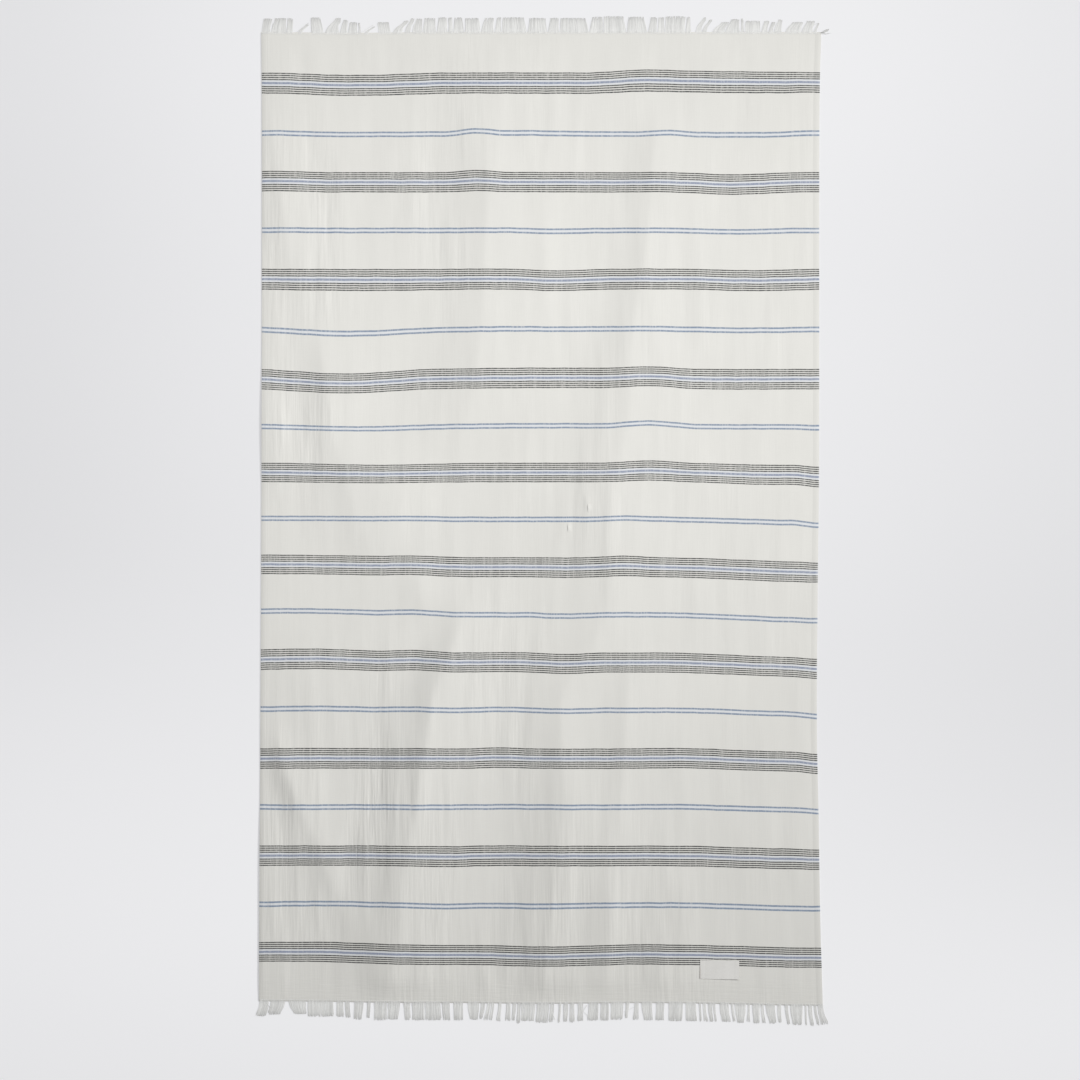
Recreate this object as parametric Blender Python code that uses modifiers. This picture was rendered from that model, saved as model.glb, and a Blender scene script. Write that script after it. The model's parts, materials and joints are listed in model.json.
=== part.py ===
"""A flat cotton beach towel, spread out face up, with a cut fringe at each end.

The towel lies in the XY plane: +X points to the right selvedge, +Y to the upper end and +Z up
from the floor. The origin is on the floor, under the middle of the whole towel with its fringes.
Sizes are in millimetres up to to_metres(), which is the last step of every point.
"""

import math
from bisect import bisect_right
from collections import namedtuple

import bmesh
import bpy

MM = 0.001

# The cloth as it was woven. Its underside is laid by lay_flat_point().
CLOTH_WIDTH = 1000.0
HEM_TOP = 866.0
HEM_BOTTOM = -857.5
CLOTH_THICK = 1.2
END_SETTLES = 40.0
EDGE_KEEPS = 0.15
CREST_ROUND = 5.0
CREST_CRISP = 0.7
CELLS_ACROSS = 60
CELLS_ALONG = 26

# The stitched strip at each end that the fringe hangs from, and the gap left beside it.
JOIN_GAP = 0.3
HEAD_DEPTH = 5.0

# One lock of fringe: how deep its root sits in the strip, how far out it has come down to the
# floor, where its rounded end begins, and its thickness. Its top is narrower than its foot by the
# bevel, and its end by the rounding. Shares are of its reach or of its width.
ROOT_DEPTH = 2.5
ROOT_THICK = 0.6
FOOT_BEGINS = 0.5
FOOT_THICK = 1.2
FOOT_LEAN = 0.3
END_BEGINS = 0.86
END_LEAN = 0.88
TIP_THICK = 0.8
BEVEL_SHARE = 0.12
ROUNDING = 0.08

# The woven label, a folded tape sewn on over the last band. Its lower corners stand a little clear.
LABEL_WIDTH = 70.0
LABEL_HEIGHT = 33.0
LABEL_THICK = 1.0
LABEL_X = 321.0
LABEL_Y = -804.4
LABEL_TURN = math.radians(-1.3)
LABEL_LIFT_LEFT = 0.5
LABEL_LIFT_RIGHT = 1.5
LABEL_CELLS = (6, 3)

Selvedge = namedtuple("Selvedge", "y left right")
Drift = namedtuple("Drift", "x y half_width half_length shift")
Crest = namedtuple("Crest", "y x rise steep gentle")
Fold = namedtuple("Fold", "crests")
Lock = namedtuple("Lock", "left right tip_left tip_right reach")
Tuft = namedtuple("Tuft", "x half_width low high")

# Where the two selvedges run, from the lower end to the upper one.
SELVEDGES = (
    Selvedge(y=-866, left=-503, right=506),
    Selvedge(y=-690, left=-502, right=501),
    Selvedge(y=-520, left=-501, right=498.2),
    Selvedge(y=-360, left=-500, right=495.2),
    Selvedge(y=-150, left=-498.8, right=496.3),
    Selvedge(y=100, left=-498, right=499),
    Selvedge(y=560, left=-497.4, right=499.4),
    Selvedge(y=760, left=-497.6, right=500.2),
    Selvedge(y=871, left=-498.6, right=503.2),
)

# How the loose weave has crept up (+) or down (-) the towel, one hump a row. The first four
# run right across it.
FULL_WIDTH = 3000
DRIFTS = (
    Drift(x=0, y=800, half_width=FULL_WIDTH, half_length=110, shift=6.0),
    Drift(x=0, y=240, half_width=FULL_WIDTH, half_length=250, shift=-7.0),
    Drift(x=0, y=-380, half_width=FULL_WIDTH, half_length=420, shift=3.2),
    Drift(x=0, y=-780, half_width=FULL_WIDTH, half_length=150, shift=-3.0),
    Drift(x=520, y=-160, half_width=330, half_length=400, shift=-10.0),
    Drift(x=520, y=-680, half_width=330, half_length=500, shift=-7.0),
    Drift(x=345, y=590, half_width=130, half_length=170, shift=-4.0),
    Drift(x=190, y=790, half_width=110, half_length=90, shift=3.5),
    Drift(x=197, y=180, half_width=90, half_length=220, shift=5.5),
    Drift(x=30, y=250, half_width=330, half_length=180, shift=3.0),
    Drift(x=0, y=-760, half_width=170, half_length=170, shift=-3.5),
    Drift(x=-116, y=660, half_width=60, half_length=130, shift=4.5),
    Drift(x=-330, y=790, half_width=170, half_length=130, shift=-4.0),
    Drift(x=-350, y=280, half_width=170, half_length=170, shift=-8.0),
    Drift(x=-480, y=-170, half_width=400, half_length=270, shift=6.5),
    Drift(x=-500, y=-860, half_width=330, half_length=230, shift=6.0),
    Drift(x=0, y=260, half_width=FULL_WIDTH, half_length=200, shift=-1.2),
    Drift(x=505, y=60, half_width=60, half_length=180, shift=-5.5),
    Drift(x=505, y=-380, half_width=60, half_length=300, shift=-4.5),
    Drift(x=30, y=450, half_width=100, half_length=150, shift=-3.0),
    Drift(x=45, y=-230, half_width=80, half_length=220, shift=-2.8),
    Drift(x=150, y=-50, half_width=70, half_length=130, shift=3.0),
    Drift(x=-225, y=-190, half_width=80, half_length=330, shift=2.8),
    Drift(x=-300, y=370, half_width=260, half_length=110, shift=-2.6),
    Drift(x=-290, y=120, half_width=200, half_length=110, shift=-3.6),
    Drift(x=-400, y=-280, half_width=130, half_length=200, shift=2.2),
    Drift(x=-380, y=-710, half_width=150, half_length=150, shift=2.0),
    Drift(x=-160, y=-680, half_width=90, half_length=150, shift=-2.6),
    Drift(x=-70, y=-380, half_width=70, half_length=200, shift=1.8),
    Drift(x=265, y=-440, half_width=120, half_length=170, shift=1.4),
    Drift(x=300, y=785, half_width=270, half_length=70, shift=3.0),
    Drift(x=-480, y=650, half_width=110, half_length=200, shift=2.5),
    Drift(x=-40, y=700, half_width=180, half_length=60, shift=2.0),
    Drift(x=230, y=695, half_width=60, half_length=55, shift=2.4),
    Drift(x=485, y=720, half_width=60, half_length=110, shift=2.5),
    Drift(x=380, y=410, half_width=140, half_length=130, shift=-2.8),
    Drift(x=400, y=80, half_width=120, half_length=80, shift=-2.0),
    Drift(x=-500, y=-910, half_width=330, half_length=110, shift=-5.0),
)

# The soft ridges left in the cloth. Each has a steep left flank and a gentle right one, and its
# crest is followed from its lower end to its upper one.
FOLDS = (
    Fold(crests=(
        Crest(y=110, x=-150, rise=0.0, steep=90, gentle=180),
        Crest(y=205, x=-125, rise=2.4, steep=90, gentle=165),
        Crest(y=303, x=-109, rise=5.0, steep=108, gentle=190),
        Crest(y=379, x=-100, rise=5.2, steep=112, gentle=205),
        Crest(y=481, x=-98, rise=5.0, steep=100, gentle=215),
        Crest(y=556, x=-93, rise=5.4, steep=88, gentle=215),
        Crest(y=656, x=-93, rise=5.0, steep=95, gentle=230),
        Crest(y=732, x=-97, rise=3.0, steep=75, gentle=200),
        Crest(y=868, x=-75, rise=1.6, steep=95, gentle=180),
    )),
    Fold(crests=(
        Crest(y=-864, x=5, rise=5.0, steep=75, gentle=190),
        Crest(y=-726, x=22, rise=5.4, steep=95, gentle=190),
        Crest(y=-650, x=35, rise=6.2, steep=95, gentle=190),
        Crest(y=-550, x=45, rise=6.6, steep=105, gentle=190),
        Crest(y=-476, x=43, rise=6.8, steep=100, gentle=190),
        Crest(y=-377, x=39, rise=5.8, steep=92, gentle=190),
        Crest(y=-303, x=45, rise=4.6, steep=92, gentle=200),
        Crest(y=-205, x=104, rise=5.0, steep=145, gentle=230),
        Crest(y=-131, x=124, rise=5.4, steep=165, gentle=230),
        Crest(y=-34, x=122, rise=6.4, steep=150, gentle=240),
        Crest(y=37, x=128, rise=6.4, steep=140, gentle=240),
        Crest(y=132, x=147, rise=5.2, steep=125, gentle=230),
        Crest(y=205, x=160, rise=5.2, steep=115, gentle=220),
        Crest(y=303, x=161, rise=4.8, steep=82, gentle=200),
        Crest(y=379, x=174, rise=4.6, steep=68, gentle=180),
        Crest(y=481, x=188, rise=4.8, steep=68, gentle=160),
        Crest(y=556, x=197, rise=3.8, steep=72, gentle=150),
        Crest(y=656, x=204, rise=3.2, steep=52, gentle=130),
        Crest(y=740, x=212, rise=0.0, steep=50, gentle=120),
    )),
    Fold(crests=(
        Crest(y=-864, x=122, rise=2.2, steep=55, gentle=120),
        Crest(y=-726, x=125, rise=2.8, steep=62, gentle=120),
        Crest(y=-650, x=136, rise=2.6, steep=62, gentle=150),
        Crest(y=-550, x=140, rise=2.4, steep=70, gentle=180),
        Crest(y=-476, x=150, rise=3.4, steep=68, gentle=200),
        Crest(y=-377, x=156, rise=4.4, steep=74, gentle=210),
        Crest(y=-303, x=160, rise=3.2, steep=70, gentle=210),
        Crest(y=-220, x=165, rise=0.0, steep=70, gentle=200),
    )),
    Fold(crests=(
        Crest(y=-864, x=209, rise=2.8, steep=42, gentle=150),
        Crest(y=-726, x=210, rise=1.9, steep=50, gentle=150),
        Crest(y=-600, x=204, rise=0.9, steep=50, gentle=150),
        Crest(y=-500, x=200, rise=0.0, steep=50, gentle=150),
    )),
    Fold(crests=(
        Crest(y=-864, x=-276, rise=5.6, steep=74, gentle=180),
        Crest(y=-726, x=-252, rise=7.2, steep=122, gentle=175),
        Crest(y=-650, x=-245, rise=8.2, steep=112, gentle=185),
        Crest(y=-550, x=-229, rise=8.4, steep=108, gentle=170),
        Crest(y=-476, x=-216, rise=8.4, steep=92, gentle=155),
        Crest(y=-377, x=-199, rise=8.6, steep=92, gentle=142),
        Crest(y=-303, x=-186, rise=8.2, steep=76, gentle=140),
        Crest(y=-205, x=-148, rise=4.4, steep=58, gentle=110),
        Crest(y=-131, x=-132, rise=1.0, steep=60, gentle=95),
        Crest(y=-70, x=-125, rise=0.0, steep=60, gentle=90),
    )),
    Fold(crests=(
        Crest(y=-760, x=-338, rise=0.0, steep=60, gentle=60),
        Crest(y=-650, x=-372, rise=2.4, steep=60, gentle=62),
        Crest(y=-550, x=-412, rise=3.6, steep=54, gentle=75),
        Crest(y=-476, x=-444, rise=4.8, steep=42, gentle=110),
        Crest(y=-425, x=-460, rise=2.6, steep=36, gentle=100),
        Crest(y=-370, x=-474, rise=0.0, steep=34, gentle=90),
    )),
    Fold(crests=(
        Crest(y=340, x=-422, rise=0.0, steep=40, gentle=110),
        Crest(y=430, x=-440, rise=1.8, steep=46, gentle=120),
        Crest(y=481, x=-450, rise=2.4, steep=48, gentle=120),
        Crest(y=556, x=-458, rise=3.4, steep=40, gentle=110),
        Crest(y=656, x=-470, rise=1.3, steep=28, gentle=80),
        Crest(y=730, x=-478, rise=0.0, steep=24, gentle=60),
    )),
    Fold(crests=(
        Crest(y=-90, x=-290, rise=0.0, steep=110, gentle=180),
        Crest(y=-34, x=-308, rise=2.4, steep=115, gentle=190),
        Crest(y=37, x=-335, rise=2.8, steep=95, gentle=230),
        Crest(y=132, x=-366, rise=4.2, steep=68, gentle=180),
        Crest(y=205, x=-376, rise=4.6, steep=60, gentle=150),
        Crest(y=303, x=-392, rise=2.6, steep=52, gentle=150),
        Crest(y=360, x=-398, rise=0.0, steep=50, gentle=140),
    )),
    Fold(crests=(
        Crest(y=240, x=308, rise=0.0, steep=45, gentle=110),
        Crest(y=303, x=302, rise=0.8, steep=45, gentle=110),
        Crest(y=379, x=292, rise=1.5, steep=45, gentle=110),
        Crest(y=481, x=283, rise=1.4, steep=42, gentle=110),
        Crest(y=556, x=277, rise=0.6, steep=40, gentle=110),
        Crest(y=610, x=274, rise=0.0, steep=40, gentle=110),
    )),
    Fold(crests=(
        Crest(y=-190, x=-205, rise=0.0, steep=60, gentle=90),
        Crest(y=-131, x=-212, rise=2.4, steep=62, gentle=110),
        Crest(y=-60, x=-225, rise=0.0, steep=60, gentle=100),
    )),
    Fold(crests=(
        Crest(y=-70, x=-250, rise=0.0, steep=150, gentle=110),
        Crest(y=-15, x=-254, rise=1.9, steep=150, gentle=110),
        Crest(y=40, x=-256, rise=1.9, steep=150, gentle=110),
        Crest(y=105, x=-262, rise=0.0, steep=150, gentle=110),
    )),
    Fold(crests=(
        Crest(y=330, x=2, rise=0.0, steep=24, gentle=60),
        Crest(y=400, x=6, rise=0.9, steep=24, gentle=60),
        Crest(y=480, x=6, rise=0.9, steep=24, gentle=60),
        Crest(y=560, x=4, rise=0.5, steep=24, gentle=60),
        Crest(y=620, x=2, rise=0.0, steep=24, gentle=60),
    )),
    Fold(crests=(
        Crest(y=60, x=-500, rise=0.0, steep=40, gentle=90),
        Crest(y=170, x=-498, rise=1.5, steep=40, gentle=80),
        Crest(y=285, x=-500, rise=0.0, steep=40, gentle=60),
    )),
    Fold(crests=(
        Crest(y=-864, x=-500, rise=0.6, steep=40, gentle=85),
        Crest(y=-726, x=-498, rise=1.0, steep=40, gentle=75),
        Crest(y=-600, x=-496, rise=1.2, steep=40, gentle=60),
        Crest(y=-500, x=-500, rise=0.0, steep=40, gentle=40),
    )),
)

# The two fringes, a lock a row, from the left selvedge to the right one: where its root and its
# tip begin and end, and how far it reaches from the hem.
FRINGE_TOP = (
    Lock(left=-498, right=-483, tip_left=-496, tip_right=-477, reach=29),
    Lock(left=-481, right=-454, tip_left=-474, tip_right=-454, reach=30),
    Lock(left=-453, right=-442, tip_left=-452, tip_right=-442, reach=30),
    Lock(left=-434, right=-426, tip_left=-419, tip_right=-412, reach=19),
    Lock(left=-409, right=-388, tip_left=-410, tip_right=-392, reach=32),
    Lock(left=-385, right=-360, tip_left=-365, tip_right=-356, reach=31),
    Lock(left=-358, right=-345, tip_left=-352, tip_right=-343, reach=28),
    Lock(left=-343, right=-327, tip_left=-341, tip_right=-327, reach=24),
    Lock(left=-324, right=-320, tip_left=-325, tip_right=-321, reach=23),
    Lock(left=-316, right=-308, tip_left=-300, tip_right=-293, reach=16),
    Lock(left=-288, right=-267, tip_left=-291, tip_right=-270, reach=24),
    Lock(left=-265, right=-248, tip_left=-243, tip_right=-234, reach=26),
    Lock(left=-243, right=-233, tip_left=-231, tip_right=-224, reach=30),
    Lock(left=-229, right=-211, tip_left=-222, tip_right=-210, reach=29),
    Lock(left=-209, right=-186, tip_left=-208, tip_right=-188, reach=30),
    Lock(left=-184, right=-166, tip_left=-181, tip_right=-167, reach=31),
    Lock(left=-163, right=-156, tip_left=-164, tip_right=-156, reach=31),
    Lock(left=-154, right=-136, tip_left=-153, tip_right=-138, reach=31),
    Lock(left=-134, right=-106, tip_left=-134, tip_right=-109, reach=30),
    Lock(left=-105, right=-83, tip_left=-99, tip_right=-82, reach=30),
    Lock(left=-80, right=-70, tip_left=-77, tip_right=-69, reach=31),
    Lock(left=-68, right=-24, tip_left=-67, tip_right=-28, reach=31),
    Lock(left=-21, right=12, tip_left=-19, tip_right=10, reach=30),
    Lock(left=15, right=34, tip_left=19, tip_right=34, reach=30),
    Lock(left=36, right=87, tip_left=37, tip_right=82, reach=30),
    Lock(left=89, right=113, tip_left=93, tip_right=112, reach=32),
    Lock(left=114, right=154, tip_left=114, tip_right=150, reach=33),
    Lock(left=156, right=191, tip_left=158, tip_right=186, reach=32),
    Lock(left=194, right=209, tip_left=198, tip_right=209, reach=31),
    Lock(left=211, right=223, tip_left=211, tip_right=223, reach=31),
    Lock(left=224, right=259, tip_left=225, tip_right=260, reach=33),
    Lock(left=261, right=271, tip_left=263, tip_right=269, reach=32),
    Lock(left=277, right=287, tip_left=292, tip_right=299, reach=31),
    Lock(left=289, right=297, tip_left=303, tip_right=309, reach=27),
    Lock(left=307, right=328, tip_left=325, tip_right=338, reach=23),
    Lock(left=331, right=357, tip_left=343, tip_right=356, reach=28),
    Lock(left=360, right=365, tip_left=359, tip_right=364, reach=29),
    Lock(left=367, right=394, tip_left=367, tip_right=394, reach=25),
    Lock(left=396, right=406, tip_left=402, tip_right=411, reach=25),
    Lock(left=409, right=416, tip_left=415, tip_right=422, reach=23),
    Lock(left=418, right=432, tip_left=426, tip_right=434, reach=27),
    Lock(left=437, right=466, tip_left=451, tip_right=471, reach=23),
    Lock(left=468, right=487, tip_left=477, tip_right=492, reach=25),
    Lock(left=489, right=495, tip_left=496, tip_right=501, reach=21),
)
FRINGE_BOTTOM = (
    Lock(left=-501, right=-484, tip_left=-509, tip_right=-489, reach=32),
    Lock(left=-482, right=-454, tip_left=-487, tip_right=-465, reach=29),
    Lock(left=-451, right=-418, tip_left=-440, tip_right=-417, reach=28),
    Lock(left=-416, right=-369, tip_left=-415, tip_right=-368, reach=32),
    Lock(left=-364, right=-351, tip_left=-365, tip_right=-350, reach=32),
    Lock(left=-349, right=-340, tip_left=-348, tip_right=-338, reach=33),
    Lock(left=-332, right=-314, tip_left=-333, tip_right=-318, reach=36),
    Lock(left=-309, right=-302, tip_left=-310, tip_right=-305, reach=33),
    Lock(left=-296, right=-274, tip_left=-297, tip_right=-274, reach=37),
    Lock(left=-272, right=-249, tip_left=-273, tip_right=-253, reach=35),
    Lock(left=-244, right=-231, tip_left=-242, tip_right=-231, reach=36),
    Lock(left=-229, right=-206, tip_left=-228, tip_right=-206, reach=36),
    Lock(left=-205, right=-178, tip_left=-205, tip_right=-175, reach=36),
    Lock(left=-176, right=-161, tip_left=-173, tip_right=-159, reach=36),
    Lock(left=-155, right=-137, tip_left=-155, tip_right=-138, reach=36),
    Lock(left=-130, right=-108, tip_left=-126, tip_right=-111, reach=35),
    Lock(left=-106, right=-97, tip_left=-109, tip_right=-103, reach=33),
    Lock(left=-94, right=-88, tip_left=-101, tip_right=-93, reach=35),
    Lock(left=-87, right=-81, tip_left=-91, tip_right=-85, reach=35),
    Lock(left=-74, right=-68, tip_left=-78, tip_right=-71, reach=37),
    Lock(left=-60, right=-52, tip_left=-62, tip_right=-52, reach=36),
    Lock(left=-49, right=-42, tip_left=-50, tip_right=-45, reach=35),
    Lock(left=-40, right=-34, tip_left=-42, tip_right=-36, reach=40),
    Lock(left=-33, right=-8, tip_left=-34, tip_right=-10, reach=36),
    Lock(left=-5, right=17, tip_left=-8, tip_right=13, reach=39),
    Lock(left=19, right=26, tip_left=15, tip_right=23, reach=38),
    Lock(left=34, right=39, tip_left=31, tip_right=36, reach=39),
    Lock(left=42, right=51, tip_left=41, tip_right=49, reach=38),
    Lock(left=54, right=62, tip_left=52, tip_right=62, reach=39),
    Lock(left=68, right=78, tip_left=67, tip_right=78, reach=37),
    Lock(left=87, right=105, tip_left=83, tip_right=104, reach=36),
    Lock(left=109, right=124, tip_left=108, tip_right=123, reach=36),
    Lock(left=127, right=150, tip_left=126, tip_right=148, reach=35),
    Lock(left=153, right=161, tip_left=151, tip_right=157, reach=32),
    Lock(left=169, right=177, tip_left=165, tip_right=177, reach=35),
    Lock(left=181, right=201, tip_left=186, tip_right=202, reach=36),
    Lock(left=208, right=223, tip_left=206, tip_right=222, reach=36),
    Lock(left=230, right=257, tip_left=230, tip_right=255, reach=37),
    Lock(left=260, right=279, tip_left=260, tip_right=281, reach=37),
    Lock(left=284, right=288, tip_left=285, tip_right=289, reach=37),
    Lock(left=291, right=297, tip_left=292, tip_right=302, reach=37),
    Lock(left=300, right=308, tip_left=304, tip_right=310, reach=37),
    Lock(left=309, right=314, tip_left=312, tip_right=317, reach=37),
    Lock(left=321, right=338, tip_left=326, tip_right=343, reach=37),
    Lock(left=341, right=346, tip_left=345, tip_right=350, reach=36),
    Lock(left=348, right=369, tip_left=352, tip_right=366, reach=38),
    Lock(left=372, right=376, tip_left=370, tip_right=376, reach=36),
    Lock(left=379, right=394, tip_left=381, tip_right=394, reach=38),
    Lock(left=395, right=400, tip_left=398, tip_right=404, reach=38),
    Lock(left=403, right=421, tip_left=410, tip_right=423, reach=38),
    Lock(left=424, right=432, tip_left=426, tip_right=433, reach=36),
    Lock(left=437, right=444, tip_left=442, tip_right=448, reach=39),
    Lock(left=447, right=471, tip_left=453, tip_right=469, reach=40),
    Lock(left=473, right=477, tip_left=474, tip_right=478, reach=40),
    Lock(left=479, right=487, tip_left=484, tip_right=490, reach=41),
    Lock(left=489, right=494, tip_left=496, tip_right=500, reach=40),
    Lock(left=496, right=506, tip_left=502, tip_right=517, reach=39),
)

# The little knotted tuft of selvedge ends at the upper right corner, and how far it sits from
# the hem.
TUFT_DISTANCE = 3.3
TUFT_TOP_SHARE = 0.7
TUFT = (
    Tuft(x=499.0, half_width=1.2, low=0.3, high=0.9),
    Tuft(x=506.0, half_width=1.6, low=0.0, high=1.2),
    Tuft(x=510.5, half_width=4.2, low=0.0, high=2.6),
    Tuft(x=517.5, half_width=2.2, low=0.0, high=0.9),
)

# Each finish: its name, colour and roughness.
COTTON = ("crinkled_cotton", (0.76, 0.76, 0.74), 0.85)
FRINGE_COTTON = ("fringe_cotton", (0.78, 0.78, 0.76), 0.9)
LABEL_TAPE = ("label_tape", (0.86, 0.86, 0.86), 0.7)


def hump(distance, reach):
    """A smooth hump: 1 at its middle, and 0 from its reach outwards."""
    return 0.5 + 0.5 * math.cos(math.pi * min(abs(distance) / reach, 1.0))


def ridge(offset, reach):
    """A fold's cross-section: 1 at a rather sharp crest, and 0 from its reach outwards."""
    away = min((math.hypot(offset, CREST_ROUND) - CREST_ROUND) / reach, 1.0)
    return CREST_CRISP * (1 - away) ** 2 + (1 - CREST_CRISP) * hump(offset, reach)


def follow(rows, at, column):
    """Read a column along a smooth curve through a table whose first column rises."""
    marks = [row[0] for row in rows]
    values = [getattr(row, column) for row in rows]
    last = len(rows) - 1
    at = min(max(at, marks[0]), marks[last])
    low = min(bisect_right(marks, at) - 1, last - 1)

    def slope(index):
        before, after = max(index - 1, 0), min(index + 1, last)
        return (values[after] - values[before]) / (marks[after] - marks[before])

    span = marks[low + 1] - marks[low]
    t = (at - marks[low]) / span
    start = (1 + 2 * t) * (1 - t) ** 2 * values[low] + t * (1 - t) ** 2 * span * slope(low)
    end = t * t * (3 - 2 * t) * values[low + 1] + t * t * (t - 1) * span * slope(low + 1)
    return start + end


def settled(y):
    """The share of a fold's rise that is left at a height. Near its ends the cloth settles."""
    to_end = max(min(HEM_TOP - y, y - HEM_BOTTOM), 0.0)
    return 1 - (1 - EDGE_KEEPS) * hump(to_end, END_SETTLES)


def fold_height(x, y):
    """How high the folds lift the underside of the cloth off the floor."""
    height = 0.0
    for fold in FOLDS:
        rise = max(follow(fold.crests, y, "rise"), 0.0)
        offset = x - follow(fold.crests, y, "x")
        height += rise * ridge(offset, follow(fold.crests, y, "steep" if offset < 0 else "gentle"))
    return height * settled(y)


def drifted(x, along):
    """How far up the towel a point lies that was woven at the height called along."""
    y = along
    for drift in DRIFTS:
        y += drift.shift * hump(x - drift.x, drift.half_width) * hump(along - drift.y, drift.half_length)
    return y


def lay_flat_point(across, along):
    """Where a point of the cloth's underside lies, from its place on the flat woven length."""
    left = follow(SELVEDGES, along, "left")
    right = follow(SELVEDGES, along, "right")
    x = left + (right - left) * (across / CLOTH_WIDTH + 0.5)
    y = drifted(x, along)
    return x, y, fold_height(x, y)


def to_metres(point):
    return [value * MM for value in point]


def paint(thing, finish):
    """Give an object a material of its own: its name, colour and roughness."""
    name, colour, roughness = finish
    material = bpy.data.materials.new(f"{thing.name}_{name}")
    material.use_nodes = True
    shader = material.node_tree.nodes["Principled BSDF"]
    shader.inputs["Base Color"].default_value = (*colour, 1.0)
    shader.inputs["Roughness"].default_value = roughness
    shader.inputs["Metallic"].default_value = 0.0
    thing.data.materials.append(material)


def new_grid(name, collection, cells_x, cells_y):
    """A unit square grid from -0.5 to 0.5 each way, linked to its collection."""
    bpy.ops.mesh.primitive_grid_add(x_subdivisions=cells_x, y_subdivisions=cells_y, size=1.0)
    grid = bpy.context.object
    grid.name = name
    grid.data.name = name
    for other in list(grid.users_collection):
        other.objects.unlink(grid)
    collection.objects.link(grid)
    return grid


def thicken(thing, thickness):
    """Give an open surface its thickness, upwards from its underside."""
    solid = thing.modifiers.new("thickness", "SOLIDIFY")
    solid.thickness = thickness * MM
    solid.offset = 1.0


def make_cloth(collection):
    cloth = new_grid("towel_cloth", collection, CELLS_ACROSS, CELLS_ALONG)
    length = HEM_TOP - HEM_BOTTOM
    middle = (HEM_TOP + HEM_BOTTOM) / 2
    for vertex in cloth.data.vertices:
        across = vertex.co.x * CLOTH_WIDTH
        along = middle + vertex.co.y * length
        vertex.co = to_metres(lay_flat_point(across, along))
    thicken(cloth, CLOTH_THICK)
    paint(cloth, COTTON)


def add_loft(mesh, rings):
    """Close a body over four-sided rings, given from one end to the other."""
    loops = [[mesh.verts.new(to_metres(point)) for point in ring] for ring in rings]
    for near, far in zip(loops, loops[1:]):
        for side in range(4):
            other = (side + 1) % 4
            mesh.faces.new((near[side], near[other], far[other], far[side]))
    mesh.faces.new(loops[0])
    mesh.faces.new(reversed(loops[-1]))


def lock_ring(left, right, y, low_left, low_right, thickness):
    """One section across a lock: a flat foot and a narrower top."""
    bevel = (right - left) * BEVEL_SHARE
    return (
        (left, y, low_left),
        (right, y, low_right),
        (right - bevel, y, low_right + thickness),
        (left + bevel, y, low_left + thickness),
    )


def add_lock(mesh, lock, hem, outward):
    """One lock, from its root in the strip down to the floor and out to its tip."""
    middle = (lock.left + lock.right) / 2

    def floor_ring(share, lean, rounding, thickness):
        near = lock.left + (lock.tip_left - lock.left) * lean
        far = lock.right + (lock.tip_right - lock.right) * lean
        inset = (far - near) * rounding
        y = drifted(middle, hem) + outward * lock.reach * share
        return lock_ring(near + inset, far - inset, y, 0.0, 0.0, thickness)

    root = hem + outward * (JOIN_GAP + HEAD_DEPTH - ROOT_DEPTH)
    root_y = drifted(middle, root)
    seat = (CLOTH_THICK - ROOT_THICK) / 2
    add_loft(mesh, [
        lock_ring(lock.left, lock.right, root_y, fold_height(lock.left, root_y) + seat,
                  fold_height(lock.right, root_y) + seat, ROOT_THICK),
        floor_ring(FOOT_BEGINS, FOOT_LEAN, 0.0, FOOT_THICK),
        floor_ring(END_BEGINS, END_LEAN, 0.0, FOOT_THICK),
        floor_ring(1.0, 1.0, ROUNDING, TIP_THICK),
    ])


def add_tuft(mesh, hem):
    """The knotted tuft that sticks out past the right selvedge."""
    rings = []
    y = drifted(TUFT[0].x, hem) + TUFT_DISTANCE
    for part in TUFT:
        rings.append((
            (part.x, y - part.half_width, part.low),
            (part.x, y + part.half_width, part.low),
            (part.x, y + part.half_width * TUFT_TOP_SHARE, part.high),
            (part.x, y - part.half_width * TUFT_TOP_SHARE, part.high),
        ))
    add_loft(mesh, rings)


def make_locks(name, tools, locks, hem, outward):
    """All the locks of one fringe, side by side and clear of each other."""
    mesh = bmesh.new()
    for lock in locks:
        add_lock(mesh, lock, hem, outward)
    if outward > 0:
        add_tuft(mesh, hem)
    bmesh.ops.recalc_face_normals(mesh, faces=mesh.faces)
    data = bpy.data.meshes.new(name)
    mesh.to_mesh(data)
    mesh.free()
    joined = bpy.data.objects.new(name, data)
    tools.objects.link(joined)
    joined.hide_render = True
    joined.display_type = "WIRE"
    return joined


def make_fringe(name, collection, tools, locks, hem, outward):
    """A stitched strip, a little clear of the hem, with its locks joined on."""
    head = new_grid(name, collection, CELLS_ACROSS, 1)
    for vertex in head.data.vertices:
        across = vertex.co.x * CLOTH_WIDTH
        distance = JOIN_GAP + HEAD_DEPTH * (0.5 + outward * vertex.co.y)
        vertex.co = to_metres(lay_flat_point(across, hem + outward * distance))
    thicken(head, CLOTH_THICK)
    join = head.modifiers.new("locks", "BOOLEAN")
    join.operation = "UNION"
    join.solver = "EXACT"
    join.object = make_locks(f"{name}_locks", tools, locks, hem, outward)
    paint(head, FRINGE_COTTON)


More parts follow.
